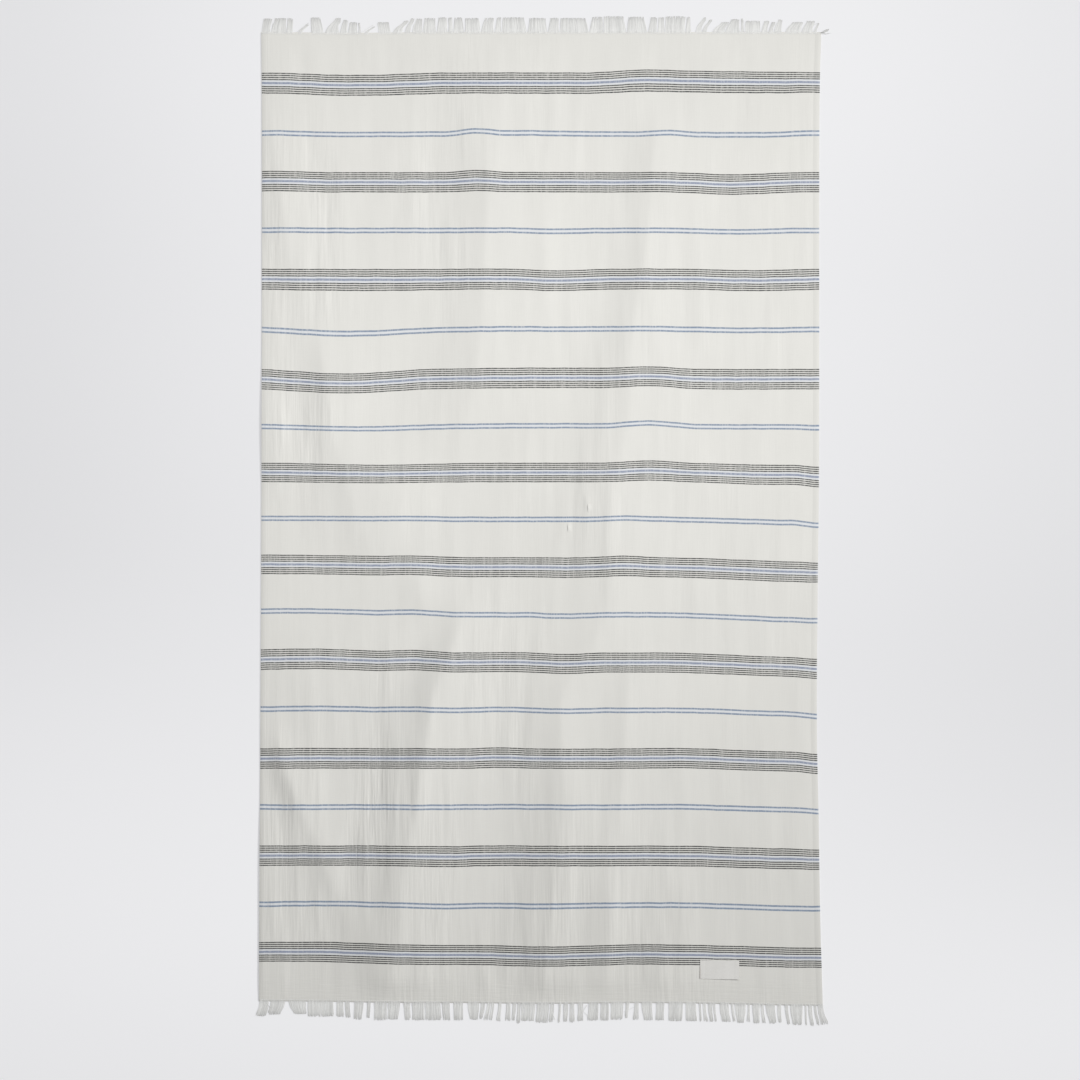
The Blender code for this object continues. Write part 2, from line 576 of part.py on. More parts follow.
def make_label(collection):
    label = new_grid("label", collection, *LABEL_CELLS)
    cos_turn, sin_turn = math.cos(LABEL_TURN), math.sin(LABEL_TURN)
    for vertex in label.data.vertices:
        across = vertex.co.x * LABEL_WIDTH
        along = vertex.co.y * LABEL_HEIGHT
        x = LABEL_X + across * cos_turn - along * sin_turn
        y = LABEL_Y + across * sin_turn + along * cos_turn
        corner = LABEL_LIFT_LEFT + (LABEL_LIFT_RIGHT - LABEL_LIFT_LEFT) * (0.5 + vertex.co.x)
        lift = corner * (0.5 - vertex.co.y) ** 2
        vertex.co = to_metres((x, y, fold_height(x, y) + CLOTH_THICK + JOIN_GAP + lift))
    thicken(label, LABEL_THICK)
    paint(label, LABEL_TAPE)


def clear_scene():
    for thing in list(bpy.data.objects):
        bpy.data.objects.remove(thing, do_unlink=True)


def new_collection(name):
    collection = bpy.data.collections.new(name)
    bpy.context.scene.collection.children.link(collection)
    return collection


def main():
    clear_scene()
    towel = new_collection("beach_towel")
    tools = new_collection("join_tools")
    make_cloth(towel)
    make_fringe("fringe_top", towel, tools, FRINGE_TOP, HEM_TOP, 1)
    make_fringe("fringe_bottom", towel, tools, FRINGE_BOTTOM, HEM_BOTTOM, -1)
    make_label(towel)


main()
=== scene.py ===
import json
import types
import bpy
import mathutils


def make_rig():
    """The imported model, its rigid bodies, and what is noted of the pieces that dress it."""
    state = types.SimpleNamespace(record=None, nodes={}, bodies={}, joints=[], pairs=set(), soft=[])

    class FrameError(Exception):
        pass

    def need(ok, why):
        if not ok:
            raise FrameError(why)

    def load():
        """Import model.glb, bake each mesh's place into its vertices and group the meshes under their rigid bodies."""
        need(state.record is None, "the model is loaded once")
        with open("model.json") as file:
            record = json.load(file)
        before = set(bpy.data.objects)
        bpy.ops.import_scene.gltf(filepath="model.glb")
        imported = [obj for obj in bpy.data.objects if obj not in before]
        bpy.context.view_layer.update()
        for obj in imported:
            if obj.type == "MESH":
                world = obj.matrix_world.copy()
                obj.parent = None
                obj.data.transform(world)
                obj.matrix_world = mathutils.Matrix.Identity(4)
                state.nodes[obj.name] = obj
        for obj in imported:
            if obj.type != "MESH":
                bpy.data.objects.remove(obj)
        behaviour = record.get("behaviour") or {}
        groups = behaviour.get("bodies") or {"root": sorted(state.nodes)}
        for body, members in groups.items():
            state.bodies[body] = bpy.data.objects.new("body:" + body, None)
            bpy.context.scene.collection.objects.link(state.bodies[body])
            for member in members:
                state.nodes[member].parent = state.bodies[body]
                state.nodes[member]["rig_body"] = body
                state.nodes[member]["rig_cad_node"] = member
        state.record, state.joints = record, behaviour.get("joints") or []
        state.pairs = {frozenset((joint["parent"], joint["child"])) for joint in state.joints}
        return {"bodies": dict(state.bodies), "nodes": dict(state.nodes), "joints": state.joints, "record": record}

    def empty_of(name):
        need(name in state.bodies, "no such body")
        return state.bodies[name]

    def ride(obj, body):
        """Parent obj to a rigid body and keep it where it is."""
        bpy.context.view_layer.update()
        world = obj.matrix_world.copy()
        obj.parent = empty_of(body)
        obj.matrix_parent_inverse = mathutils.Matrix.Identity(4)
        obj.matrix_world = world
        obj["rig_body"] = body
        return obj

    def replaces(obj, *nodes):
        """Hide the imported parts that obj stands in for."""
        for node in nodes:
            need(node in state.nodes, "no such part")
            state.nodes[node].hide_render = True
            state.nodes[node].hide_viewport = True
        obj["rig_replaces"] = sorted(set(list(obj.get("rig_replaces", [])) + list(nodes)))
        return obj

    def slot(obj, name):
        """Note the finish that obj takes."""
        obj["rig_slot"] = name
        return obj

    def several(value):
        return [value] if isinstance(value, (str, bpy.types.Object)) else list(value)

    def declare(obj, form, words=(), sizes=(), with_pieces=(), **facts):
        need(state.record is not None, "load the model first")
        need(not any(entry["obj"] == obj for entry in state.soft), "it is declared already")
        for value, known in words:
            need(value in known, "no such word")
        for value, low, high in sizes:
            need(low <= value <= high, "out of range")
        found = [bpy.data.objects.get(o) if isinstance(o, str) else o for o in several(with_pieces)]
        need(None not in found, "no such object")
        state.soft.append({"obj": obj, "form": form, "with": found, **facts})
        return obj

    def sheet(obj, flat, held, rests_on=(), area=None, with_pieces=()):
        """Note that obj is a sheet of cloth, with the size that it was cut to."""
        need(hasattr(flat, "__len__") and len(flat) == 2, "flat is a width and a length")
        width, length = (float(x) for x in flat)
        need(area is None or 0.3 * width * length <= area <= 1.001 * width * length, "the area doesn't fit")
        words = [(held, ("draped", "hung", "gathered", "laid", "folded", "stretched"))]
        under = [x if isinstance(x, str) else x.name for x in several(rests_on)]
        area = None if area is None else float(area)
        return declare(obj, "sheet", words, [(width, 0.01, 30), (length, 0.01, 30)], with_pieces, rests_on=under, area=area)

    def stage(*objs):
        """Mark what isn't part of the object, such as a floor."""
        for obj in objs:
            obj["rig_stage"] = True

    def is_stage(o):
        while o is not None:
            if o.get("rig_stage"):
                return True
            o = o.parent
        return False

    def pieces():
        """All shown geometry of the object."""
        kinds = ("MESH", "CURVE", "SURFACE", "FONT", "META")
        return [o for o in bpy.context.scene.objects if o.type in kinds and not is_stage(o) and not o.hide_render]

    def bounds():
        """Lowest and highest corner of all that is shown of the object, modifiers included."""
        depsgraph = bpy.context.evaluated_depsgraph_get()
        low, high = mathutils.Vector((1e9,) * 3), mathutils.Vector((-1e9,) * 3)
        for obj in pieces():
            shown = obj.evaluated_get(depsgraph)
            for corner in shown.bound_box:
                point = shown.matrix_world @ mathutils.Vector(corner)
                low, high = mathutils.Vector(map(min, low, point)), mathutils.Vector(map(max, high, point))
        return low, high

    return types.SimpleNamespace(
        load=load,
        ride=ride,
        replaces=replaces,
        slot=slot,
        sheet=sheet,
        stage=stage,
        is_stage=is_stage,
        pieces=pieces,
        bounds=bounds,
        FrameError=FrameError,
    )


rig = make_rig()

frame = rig.load()
cad_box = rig.bounds()

import json
import math
import random
from collections import namedtuple

import bpy
import numpy as np
from mathutils import Vector, noise

# ---------------------------------------------------------------------------------------------
# The woven body: one length of loose plain-weave cotton with its two selvedges, shrunk to a
# crinkle that runs with the warp. It lies face up on the floor, with the soft ridges that were
# left in it when it was spread out. +Y is its upper end, and lengths are in millimetres.
MM = 0.001
CLOTH_WIDTH = 1000.0
HEM_TOP = 866.0
HEM_BOTTOM = -857.5
CLOTH_THICK = 1.2
END_SETTLES = 40.0
SIDE_SETTLES = 30.0
EDGE_KEEPS = 0.15
CREST_ROUND = 5.0
CREST_CRISP = 0.7
CELLS_ACROSS = 320
CELLS_ALONG = 140
EDGE_THINNING = 0.62
END_THINNING = 0.2
SMOOTH_ANGLE = math.radians(50)


def table(columns, *rows):
    """Rows with named columns."""
    row_kind = namedtuple("Row", columns)
    return [row_kind(*row) for row in rows]


SELVEDGES = table(
    "y left right",
    (-866, -503, 506),
    (-690, -502, 501),
    (-520, -501, 498.2),
    (-360, -500, 495.2),
    (-150, -498.8, 496.3),
    (100, -498, 499),
    (560, -497.4, 499.4),
    (760, -497.6, 500.2),
    (871, -498.6, 503.2),
)

# How far the stripes lie up or down from straight.
FULL_WIDTH = 3000
DRIFTS = table(
    "x y half_width half_length shift",
    (0, 800, FULL_WIDTH, 110, 6.0),
    (0, 240, FULL_WIDTH, 250, -7.0),
    (0, -380, FULL_WIDTH, 420, 3.2),
    (0, -780, FULL_WIDTH, 150, -3.0),
    (520, -160, 330, 400, -10.0),
    (520, -680, 330, 500, -7.0),
    (345, 590, 130, 170, -4.0),
    (190, 790, 110, 90, 3.5),
    (197, 180, 90, 220, 5.5),
    (30, 250, 330, 180, 3.0),
    (0, -760, 170, 170, -3.5),
    (-116, 660, 60, 130, 4.5),
    (-330, 790, 170, 130, -4.0),
    (-350, 280, 170, 170, -8.0),
    (-480, -170, 400, 270, 6.5),
    (-500, -860, 330, 230, 6.0),
    (0, 260, FULL_WIDTH, 200, -1.2),
    (505, 60, 60, 180, -5.5),
    (505, -380, 60, 300, -4.5),
    (30, 450, 100, 150, -3.0),
    (45, -230, 80, 220, -2.8),
    (150, -50, 70, 130, 3.0),
    (-225, -190, 80, 330, 2.8),
    (-300, 370, 260, 110, -2.6),
    (-290, 120, 200, 110, -3.6),
    (-400, -280, 130, 200, 2.2),
    (-380, -710, 150, 150, 2.0),
    (-160, -680, 90, 150, -2.6),
    (-70, -380, 70, 200, 1.8),
    (265, -440, 120, 170, 1.4),
    (300, 785, 270, 70, 3.0),
    (-480, 650, 110, 200, 2.5),
    (-40, 700, 180, 60, 2.0),
    (230, 695, 60, 55, 2.4),
    (485, 720, 60, 110, 2.5),
    (380, 410, 140, 130, -2.8),
    (400, 80, 120, 80, -2.0),
    (-500, -910, 330, 110, -5.0),
)

# Each fold is a ridge along its crest: how high it rises, and how wide it is on its steep left
# side and its gentle right side.
CREST_COLUMNS = "y x rise steep gentle"
FOLDS = (
    table(
        CREST_COLUMNS,
        (110, -150, 0.0, 90, 180),
        (205, -125, 2.4, 90, 165),
        (303, -109, 5.0, 108, 190),
        (379, -100, 5.2, 112, 205),
        (481, -98, 5.0, 100, 215),
        (556, -93, 5.4, 88, 215),
        (656, -93, 5.0, 95, 230),
        (732, -97, 3.0, 75, 200),
        (868, -75, 1.6, 95, 180),
    ),
    table(
        CREST_COLUMNS,
        (-864, 5, 5.0, 75, 190),
        (-726, 22, 5.4, 95, 190),
        (-650, 35, 6.2, 95, 190),
        (-550, 45, 6.6, 105, 190),
        (-476, 43, 6.8, 100, 190),
        (-377, 39, 5.8, 92, 190),
        (-303, 45, 4.6, 92, 200),
        (-205, 104, 5.0, 145, 230),
        (-131, 124, 5.4, 165, 230),
        (-34, 122, 6.4, 150, 240),
        (37, 128, 6.4, 140, 240),
        (132, 147, 5.2, 125, 230),
        (205, 160, 5.2, 115, 220),
        (303, 161, 4.8, 82, 200),
        (379, 174, 4.6, 68, 180),
        (481, 188, 4.8, 68, 160),
        (556, 197, 3.8, 72, 150),
        (656, 204, 3.2, 52, 130),
        (740, 212, 0.0, 50, 120),
    ),
    table(
        CREST_COLUMNS,
        (-864, 122, 2.2, 55, 120),
        (-726, 125, 2.8, 62, 120),
        (-650, 136, 2.6, 62, 150),
        (-550, 140, 2.4, 70, 180),
        (-476, 150, 3.4, 68, 200),
        (-377, 156, 4.4, 74, 210),
        (-303, 160, 3.2, 70, 210),
        (-220, 165, 0.0, 70, 200),
    ),
    table(
        CREST_COLUMNS,
        (-864, 209, 2.8, 42, 150),
        (-726, 210, 1.9, 50, 150),
        (-600, 204, 0.9, 50, 150),
        (-500, 200, 0.0, 50, 150),
    ),
    table(
        CREST_COLUMNS,
        (-864, -276, 5.6, 74, 180),
        (-726, -252, 7.2, 122, 175),
        (-650, -245, 8.2, 112, 185),
        (-550, -229, 8.4, 108, 170),
        (-476, -216, 8.4, 92, 155),
        (-377, -199, 8.6, 92, 142),
        (-303, -186, 8.2, 76, 140),
        (-205, -148, 4.4, 58, 110),
        (-131, -132, 1.0, 60, 95),
        (-70, -125, 0.0, 60, 90),
    ),
    table(
        CREST_COLUMNS,
        (-760, -338, 0.0, 60, 60),
        (-650, -372, 2.4, 60, 62),
        (-550, -412, 3.6, 54, 75),
        (-476, -444, 4.8, 42, 110),
        (-425, -460, 2.6, 36, 100),
        (-370, -474, 0.0, 34, 90),
    ),
    table(
        CREST_COLUMNS,
        (340, -422, 0.0, 40, 110),
        (430, -440, 1.8, 46, 120),
        (481, -450, 2.4, 48, 120),
        (556, -458, 3.4, 40, 110),
        (656, -470, 1.3, 28, 80),
        (730, -478, 0.0, 24, 60),
    ),
    table(
        CREST_COLUMNS,
        (-90, -290, 0.0, 110, 180),
        (-34, -308, 2.4, 115, 190),
        (37, -335, 2.8, 95, 230),
        (132, -366, 4.2, 68, 180),
        (205, -376, 4.6, 60, 150),
        (303, -392, 2.6, 52, 150),
        (360, -398, 0.0, 50, 140),
    ),
    table(
        CREST_COLUMNS,
        (240, 308, 0.0, 45, 110),
        (303, 302, 0.8, 45, 110),
        (379, 292, 1.5, 45, 110),
        (481, 283, 1.4, 42, 110),
        (556, 277, 0.6, 40, 110),
        (610, 274, 0.0, 40, 110),
    ),
    table(
        CREST_COLUMNS,
        (-190, -205, 0.0, 60, 90),
        (-131, -212, 2.4, 62, 110),
        (-60, -225, 0.0, 60, 100),
    ),
    table(
        CREST_COLUMNS,
        (-70, -250, 0.0, 150, 110),
        (-15, -254, 1.9, 150, 110),
        (40, -256, 1.9, 150, 110),
        (105, -262, 0.0, 150, 110),
    ),
    table(
        CREST_COLUMNS,
        (330, 2, 0.0, 24, 60),
        (400, 6, 0.9, 24, 60),
        (480, 6, 0.9, 24, 60),
        (560, 4, 0.5, 24, 60),
        (620, 2, 0.0, 24, 60),
    ),
    table(
        CREST_COLUMNS,
        (60, -500, 0.0, 40, 90),
        (170, -498, 1.5, 40, 80),
        (285, -500, 0.0, 40, 60),
    ),
    table(
        CREST_COLUMNS,
        (-864, -500, 0.6, 40, 85),
        (-726, -498, 1.0, 40, 75),
        (-600, -496, 1.2, 40, 60),
        (-500, -500, 0.0, 40, 40),
    ),
)

# The crinkle that is big enough to model: how far apart and how long its ripples are, and how
# high. Each lies in its own layer of the noise.
RIPPLES = table(
    "across along height layer",
    (12, 85, 0.28, 1.5),
    (27, 120, 0.75, 4.5),
    (75, 230, 0.75, 8.5),
)
RIPPLE_BASE = 0.5
RIPPLE_PLAIN = 0.3
RIPPLE_GATHERED = 1.1

# How strongly the cloth is gathered: a little all over, and more at these places.
GATHER_BASE = 0.26
GATHER_UNEVEN = 1.3
GATHER_PATCH = (60, 150, 15.5)
GATHER_RANGE = (0.08, 2.4)
GATHERS = table(
    "x y half_width half_length amount",
    (-435, 500, 150, 240, 1.2),
    (-435, 160, 150, 300, 0.7),
    (-150, 600, 120, 320, 0.5),
    (130, 330, 110, 430, 0.25),
    (-400, -560, 260, 380, 1.0),
    (-230, -560, 160, 460, 0.78),
    (-60, -260, 130, 260, 0.45),
    (0, -700, 150, 440, 0.8),
    (160, -700, 170, 330, 0.40),
    (80, 0, 120, 190, 0.30),
    (0, -860, FULL_WIDTH, 110, 0.45),
)


def hump(distance, reach):
    """A smooth hump: 1 at its middle, and 0 from its reach outwards."""
    return 0.5 + 0.5 * np.cos(np.pi * np.minimum(np.abs(distance) / reach, 1.0))


def ridge(offset, reach):
    """A fold's cross-section: 1 at a rather sharp crest, and 0 from its reach outwards."""
    away = np.minimum((np.hypot(offset, CREST_ROUND) - CREST_ROUND) / reach, 1.0)
    return CREST_CRISP * (1 - away) ** 2 + (1 - CREST_CRISP) * hump(offset, reach)


def follow(rows, at, column):
    """Read a column along a smooth curve through a table whose first column rises."""
    marks = np.array([row[0] for row in rows], float)
    values = np.array([getattr(row, column) for row in rows], float)
    last = len(rows) - 1
    before = np.maximum(np.arange(last + 1) - 1, 0)
    after = np.minimum(np.arange(last + 1) + 1, last)
    slopes = (values[after] - values[before]) / (marks[after] - marks[before])
    at = np.clip(at, marks[0], marks[last])
    low = np.clip(np.searchsorted(marks, at, side="right") - 1, 0, last - 1)
    span = marks[low + 1] - marks[low]
    t = (at - marks[low]) / span
    start = (1 + 2 * t) * (1 - t) ** 2 * values[low] + t * (1 - t) ** 2 * span * slopes[low]
    end = t * t * (3 - 2 * t) * values[low + 1] + t * t * (t - 1) * span * slopes[low + 1]
    return start + end


def settled(distance, reach):
    """The share of a rise that is left this far from an edge, where the cloth settles."""
    return 1 - (1 - EDGE_KEEPS) * hump(np.maximum(distance, 0.0), reach)


def settled_to_ends(y):
    return settled(np.minimum(HEM_TOP - y, y - HEM_BOTTOM), END_SETTLES)


def fold_height(x, y):
    """How high the folds lift the underside of the cloth off the floor."""
    height = np.zeros_like(x)
    for fold in FOLDS:
        rise = np.maximum(follow(fold, y, "rise"), 0.0)
        offset = x - follow(fold, y, "x")
        steep, gentle = follow(fold, y, "steep"), follow(fold, y, "gentle")
        height += rise * ridge(offset, np.where(offset < 0, steep, gentle))
    return height * settled_to_ends(y)


def waves(x, y, across, along, layer):
    """Smooth uneven waves from about -1 to 1, of a size across and along the towel."""
    return np.array([
        noise.noise(Vector((px / across, py / along, layer))) for px, py in zip(x, y)
    ])


def gathered(x, y):
    """How tightly the cloth is crinkled at a place, in uneven patches."""
    amount = np.full_like(x, GATHER_BASE)
    for spot in GATHERS:
        beside = hump(x - spot.x, spot.half_width)
        amount += spot.amount * beside * hump(y - spot.y, spot.half_length)
    return np.clip(amount * (1.0 + GATHER_UNEVEN * waves(x, y, *GATHER_PATCH)), *GATHER_RANGE)


def ripple_height(x, y):
    """The modelled crinkle, on top of the folds."""
    height = np.zeros_like(x)
    for ripple in RIPPLES:
        height += ripple.height * waves(x, y, ripple.across, ripple.along, ripple.layer)
    height = RIPPLE_BASE + height * (RIPPLE_PLAIN + RIPPLE_GATHERED * gathered(x, y))
    beside = settled(CLOTH_WIDTH / 2 - np.abs(x), SIDE_SETTLES)
    return np.maximum(height, 0.0) * settled_to_ends(y) * beside


def drifted(x, along):
    """How far up the towel a point lies that was woven at the height called along."""
    y = along + 0.0 * x
    for drift in DRIFTS:
        beside = hump(x - drift.x, drift.half_width)
        y = y + drift.shift * beside * hump(along - drift.y, drift.half_length)
    return y


def lay_flat(across, along):
    """Where points of the cloth's underside lie, from their places on the flat woven length."""
    left = follow(SELVEDGES, along, "left")
    right = follow(SELVEDGES, along, "right")
    x = left + (right - left) * (across / CLOTH_WIDTH + 0.5)
    y = drifted(x, along)
    return np.stack((x, y, fold_height(x, y) + ripple_height(x, y)), axis=1)


def select_only(thing):
    bpy.ops.object.select_all(action="DESELECT")
    thing.select_set(True)
    bpy.context.view_layer.objects.active = thing


def points_of(mesh):
    """A mesh's points as rows of x, y and z."""
    points = np.empty(len(mesh.vertices) * 3)
    mesh.vertices.foreach_get("co", points)
    return points.reshape(-1, 3)


def write_uv(mesh, name, places):
    """Give a mesh a map of its own from one row of u and v for each face corner."""
    layer = mesh.uv_layers.get(name) or mesh.uv_layers.new(name=name)
    layer.data.foreach_set("uv", places.astype(np.float32).ravel())


def corners_of(mesh):
    """The point at each face corner."""
    corners = np.empty(len(mesh.loops), int)
    mesh.loops.foreach_get("vertex_index", corners)
    return corners


def woven_sheet(name, cells_across, cells_along, low, high, thin_end=None):
    """A length of the cloth between two heights of the flat weave, laid on its folds. It thins
    out towards its selvedges, and towards one end where that is asked for."""
    bpy.ops.object.select_all(action="DESELECT")
    bpy.ops.mesh.primitive_grid_add(x_subdivisions=cells_across, y_subdivisions=cells_along, size=1.0)
    sheet = bpy.context.object
    sheet.name = name
    mesh = sheet.data
    mesh.name = name
    while mesh.uv_layers:
        mesh.uv_layers.remove(mesh.uv_layers[0])
    points = points_of(mesh)
    across = points[:, 0] * CLOTH_WIDTH
    along = (low + high) / 2 + points[:, 1] * (high - low)
    mesh.vertices.foreach_set("co", (lay_flat(across, along) * MM).ravel())
    flat = np.stack((across, along), axis=1) * MM
    write_uv(mesh, "weave", flat[corners_of(mesh)])
    laid = points_of(mesh) / MM
    gather = mesh.attributes.new("gather", "FLOAT", "POINT")
    gather.data.foreach_set("value", gathered(laid[:, 0], laid[:, 1]).astype(np.float32))
    selvedge = np.abs(across) > CLOTH_WIDTH / 2 - 0.5
    body = sheet.vertex_groups.new(name="thickness")
    body.add(np.flatnonzero(~selvedge).tolist(), 1.0, "REPLACE")
    body.add(np.flatnonzero(selvedge).tolist(), EDGE_THINNING, "REPLACE")
    if thin_end is not None:
        ending = np.abs(along - thin_end) < 0.1
        body.add(np.flatnonzero(ending).tolist(), END_THINNING, "REPLACE")
    select_only(sheet)
    thickness = sheet.modifiers.new("thickness", "SOLIDIFY")
    thickness.thickness = CLOTH_THICK * MM
    thickness.offset = 1.0
    thickness.vertex_group = "thickness"
    bpy.ops.object.modifier_apply(modifier="thickness")
    sheet.vertex_groups.clear()
    return sheet


towel = woven_sheet("towel_cloth_woven", CELLS_ACROSS, CELLS_ALONG, HEM_BOTTOM, HEM_TOP)
select_only(towel)
bpy.ops.object.shade_smooth_by_angle(angle=SMOOTH_ANGLE)


def bake_places(mesh, low, high, halves):
    """Where each face corner lies in the kept map. The length is cut in so many strips, which lie
    side by side, and the edge faces get a little width."""
    margin = 0.006
    edge_width = 0.002
    flat = np.empty(len(mesh.loops) * 2, np.float32)
    mesh.uv_layers["weave"].data.foreach_get("uv", flat)
    flat = flat.reshape(-1, 2) / MM
    across = flat[:, 0] / CLOTH_WIDTH + 0.5
    along = (flat[:, 1] - low) / (high - low)
    totals = np.empty(len(mesh.polygons), int)
    mesh.polygons.foreach_get("loop_total", totals)
    face = np.repeat(np.arange(len(totals)), totals)
    middle = np.bincount(face, along) / totals
    half = np.minimum(np.floor(middle * halves), halves - 1)[face]
    normals = np.empty(len(mesh.polygons) * 3)
    mesh.polygons.foreach_get("normal", normals)
    normals = normals.reshape(-1, 3)
    edge = np.abs(normals[:, 2]) < 0.5
    points = points_of(mesh)[corners_of(mesh)]
    height = np.bincount(face, points[:, 2]) / totals
    low_corner = points[:, 2] < height[face]
    push = (edge[face] & low_corner)[:, None] * normals[face][:, :2] * edge_width
    u = (half + margin * 2 + (1 - margin * 4) * across) / halves + push[:, 0]
    v = margin + (1 - margin * 2) * (along * halves - half) + push[:, 1]
    return np.stack((u, v), axis=1)


write_uv(towel.data, "OFBake", bake_places(towel.data, HEM_BOTTOM, HEM_TOP, 2))


class Wire:
    """One socket of a finish. Arithmetic on it adds Math nodes."""

    def __init__(self, finish, socket):
        self.finish = finish
        self.socket = socket

    def math(self, operation, *values):
        return self.finish.add("ShaderNodeMath", {"operation": operation}, dict(enumerate(values)))

    def __add__(self, other):
        return self.math("ADD", self, other)

    def __radd__(self, other):
        return self.math("ADD", other, self)

    def __sub__(self, other):
        return self.math("SUBTRACT", self, other)

    def __rsub__(self, other):
        return self.math("SUBTRACT", other, self)

    def __mul__(self, other):
        return self.math("MULTIPLY", self, other)

    def __rmul__(self, other):
        return self.math("MULTIPLY", other, self)

    def __truediv__(self, other):
        return self.math("DIVIDE", self, other)

    def __abs__(self):
        return self.math("ABSOLUTE", self)

    def __round__(self):
        return self.math("ROUND", self)

    def at_most(self, limit):
        return self.math("MINIMUM", self, limit)

    def at_least(self, limit):
        return self.math("MAXIMUM", self, limit)

    def is_odd(self):
        return self.math("PINGPONG", self, 1.0)

    def rising(self, start, end):
        """0 below start and 1 above end, with a smooth step between them."""
        return self.finish.add(
            "ShaderNodeMapRange",
            {"interpolation_type": "SMOOTHSTEP"},
            {"Value": self, "From Min": start, "From Max": end, "To Min": 0.0, "To Max": 1.0},
        )

    def falling(self, start, end):
        return 1.0 - self.rising(start, end)

    def output(self, index):
        return Wire(self.finish, self.socket.node.outputs[index])


class Finish:
    """A material with its nodes."""

    def __init__(self, name):
        self.material = bpy.data.materials.new(name)
        self.material.use_nodes = True
        self.tree = self.material.node_tree
        self.shader = self.tree.nodes["Principled BSDF"]

    def plug(self, socket, value):
        if isinstance(value, Wire):
            self.tree.links.new(value.socket, socket)
        else:
            socket.default_value = value

    def add(self, kind, settings, sockets, output=0):
        """Any node: its type, its settings, and the values or wires of its sockets."""
        node = self.tree.nodes.new(kind)
        for setting, value in settings.items():
            setattr(node, setting, value)
        for socket, value in sockets.items():
            self.plug(node.inputs[socket], value)
        return Wire(self, node.outputs[output])

    def colour(self, red, green, blue):
        return (red, green, blue, 1.0)

    def tint(self, mask, under, over):
        """One colour over another, where the mask is 1."""
        mix = {"data_type": "RGBA"}
        return self.add("ShaderNodeMix", mix, {0: mask, 6: under, 7: over}, output=2)

    def shade(self, colour, strength):
        """A colour made darker or lighter by a wire."""
        grey = self.add("ShaderNodeCombineXYZ", {}, {0: strength, 1: strength, 2: strength})
        return self.add("ShaderNodeVectorMath", {"operation": "MULTIPLY"}, {0: colour, 1: grey})

    def grain(self, places, across, along, detail=2.0, layer=0.0):
        """Noise from 0 to 1, stretched to a size in millimetres on a map in metres."""
        stretch = (1 / (across * MM), 1 / (along * MM), 1.0)
        spot = self.add("ShaderNodeVectorMath", {"operation": "MULTIPLY"}, {0: places, 1: stretch})
        spot = self.add("ShaderNodeVectorMath", {"operation": "ADD"}, {0: spot, 1: (layer, layer, 0.0)})
        settings = {"noise_dimensions": "2D"}
        return self.add("ShaderNodeTexNoise", settings, {"Vector": spot, "Scale": 1.0, "Detail": detail})

    def bump(self, height):
        """Relief in millimetres."""
        return self.add("ShaderNodeBump", {}, {"Height": height, "Strength": 1.0, "Distance": MM})


# The stripes are in the weft. Ten bands take turns with nine pairs of thin blue lines. A band is
# four charcoal lines, a white one, a blue one, a white one and four more charcoal lines.
FIRST_BAND = 776.0
HALF_PITCH = 86.11
LAST_STRIPE = 18
GROUND = (0.668, 0.660, 0.626)
CHARCOAL = (0.050, 0.052, 0.052)
BLUE_YARN = (0.262, 0.292, 0.375)
PAIR_YARN = (0.222, 0.272, 0.355)
WHITE_YARN = (0.635, 0.652, 0.672)
CHARCOAL_FIRST = 6.05
CHARCOAL_PITCH = 3.66
CHARCOAL_HALF = 1.0
BLUE_HALF = 1.9
WHITE_EDGE = 5.0
PAIR_OFFSET = 3.5
PAIR_HALF = 1.5
LINE_SOFT = 0.4
SELVEDGE_LINE = 489.5
SELVEDGE_FLAT = 492.0

# Two small pinches in the weave near the middle, and a broad pucker under the second.
PINCHES = table(
    "across along half_width half_length height",
    (50.5, -14, 2.6, 10, 0.8),
    (86, 22, 2.6, 10, 0.8),
    (83, 30, 9, 24, 0.5),
)
PINCH_STEEP = 0.7
PINCH_GENTLE = 3.0


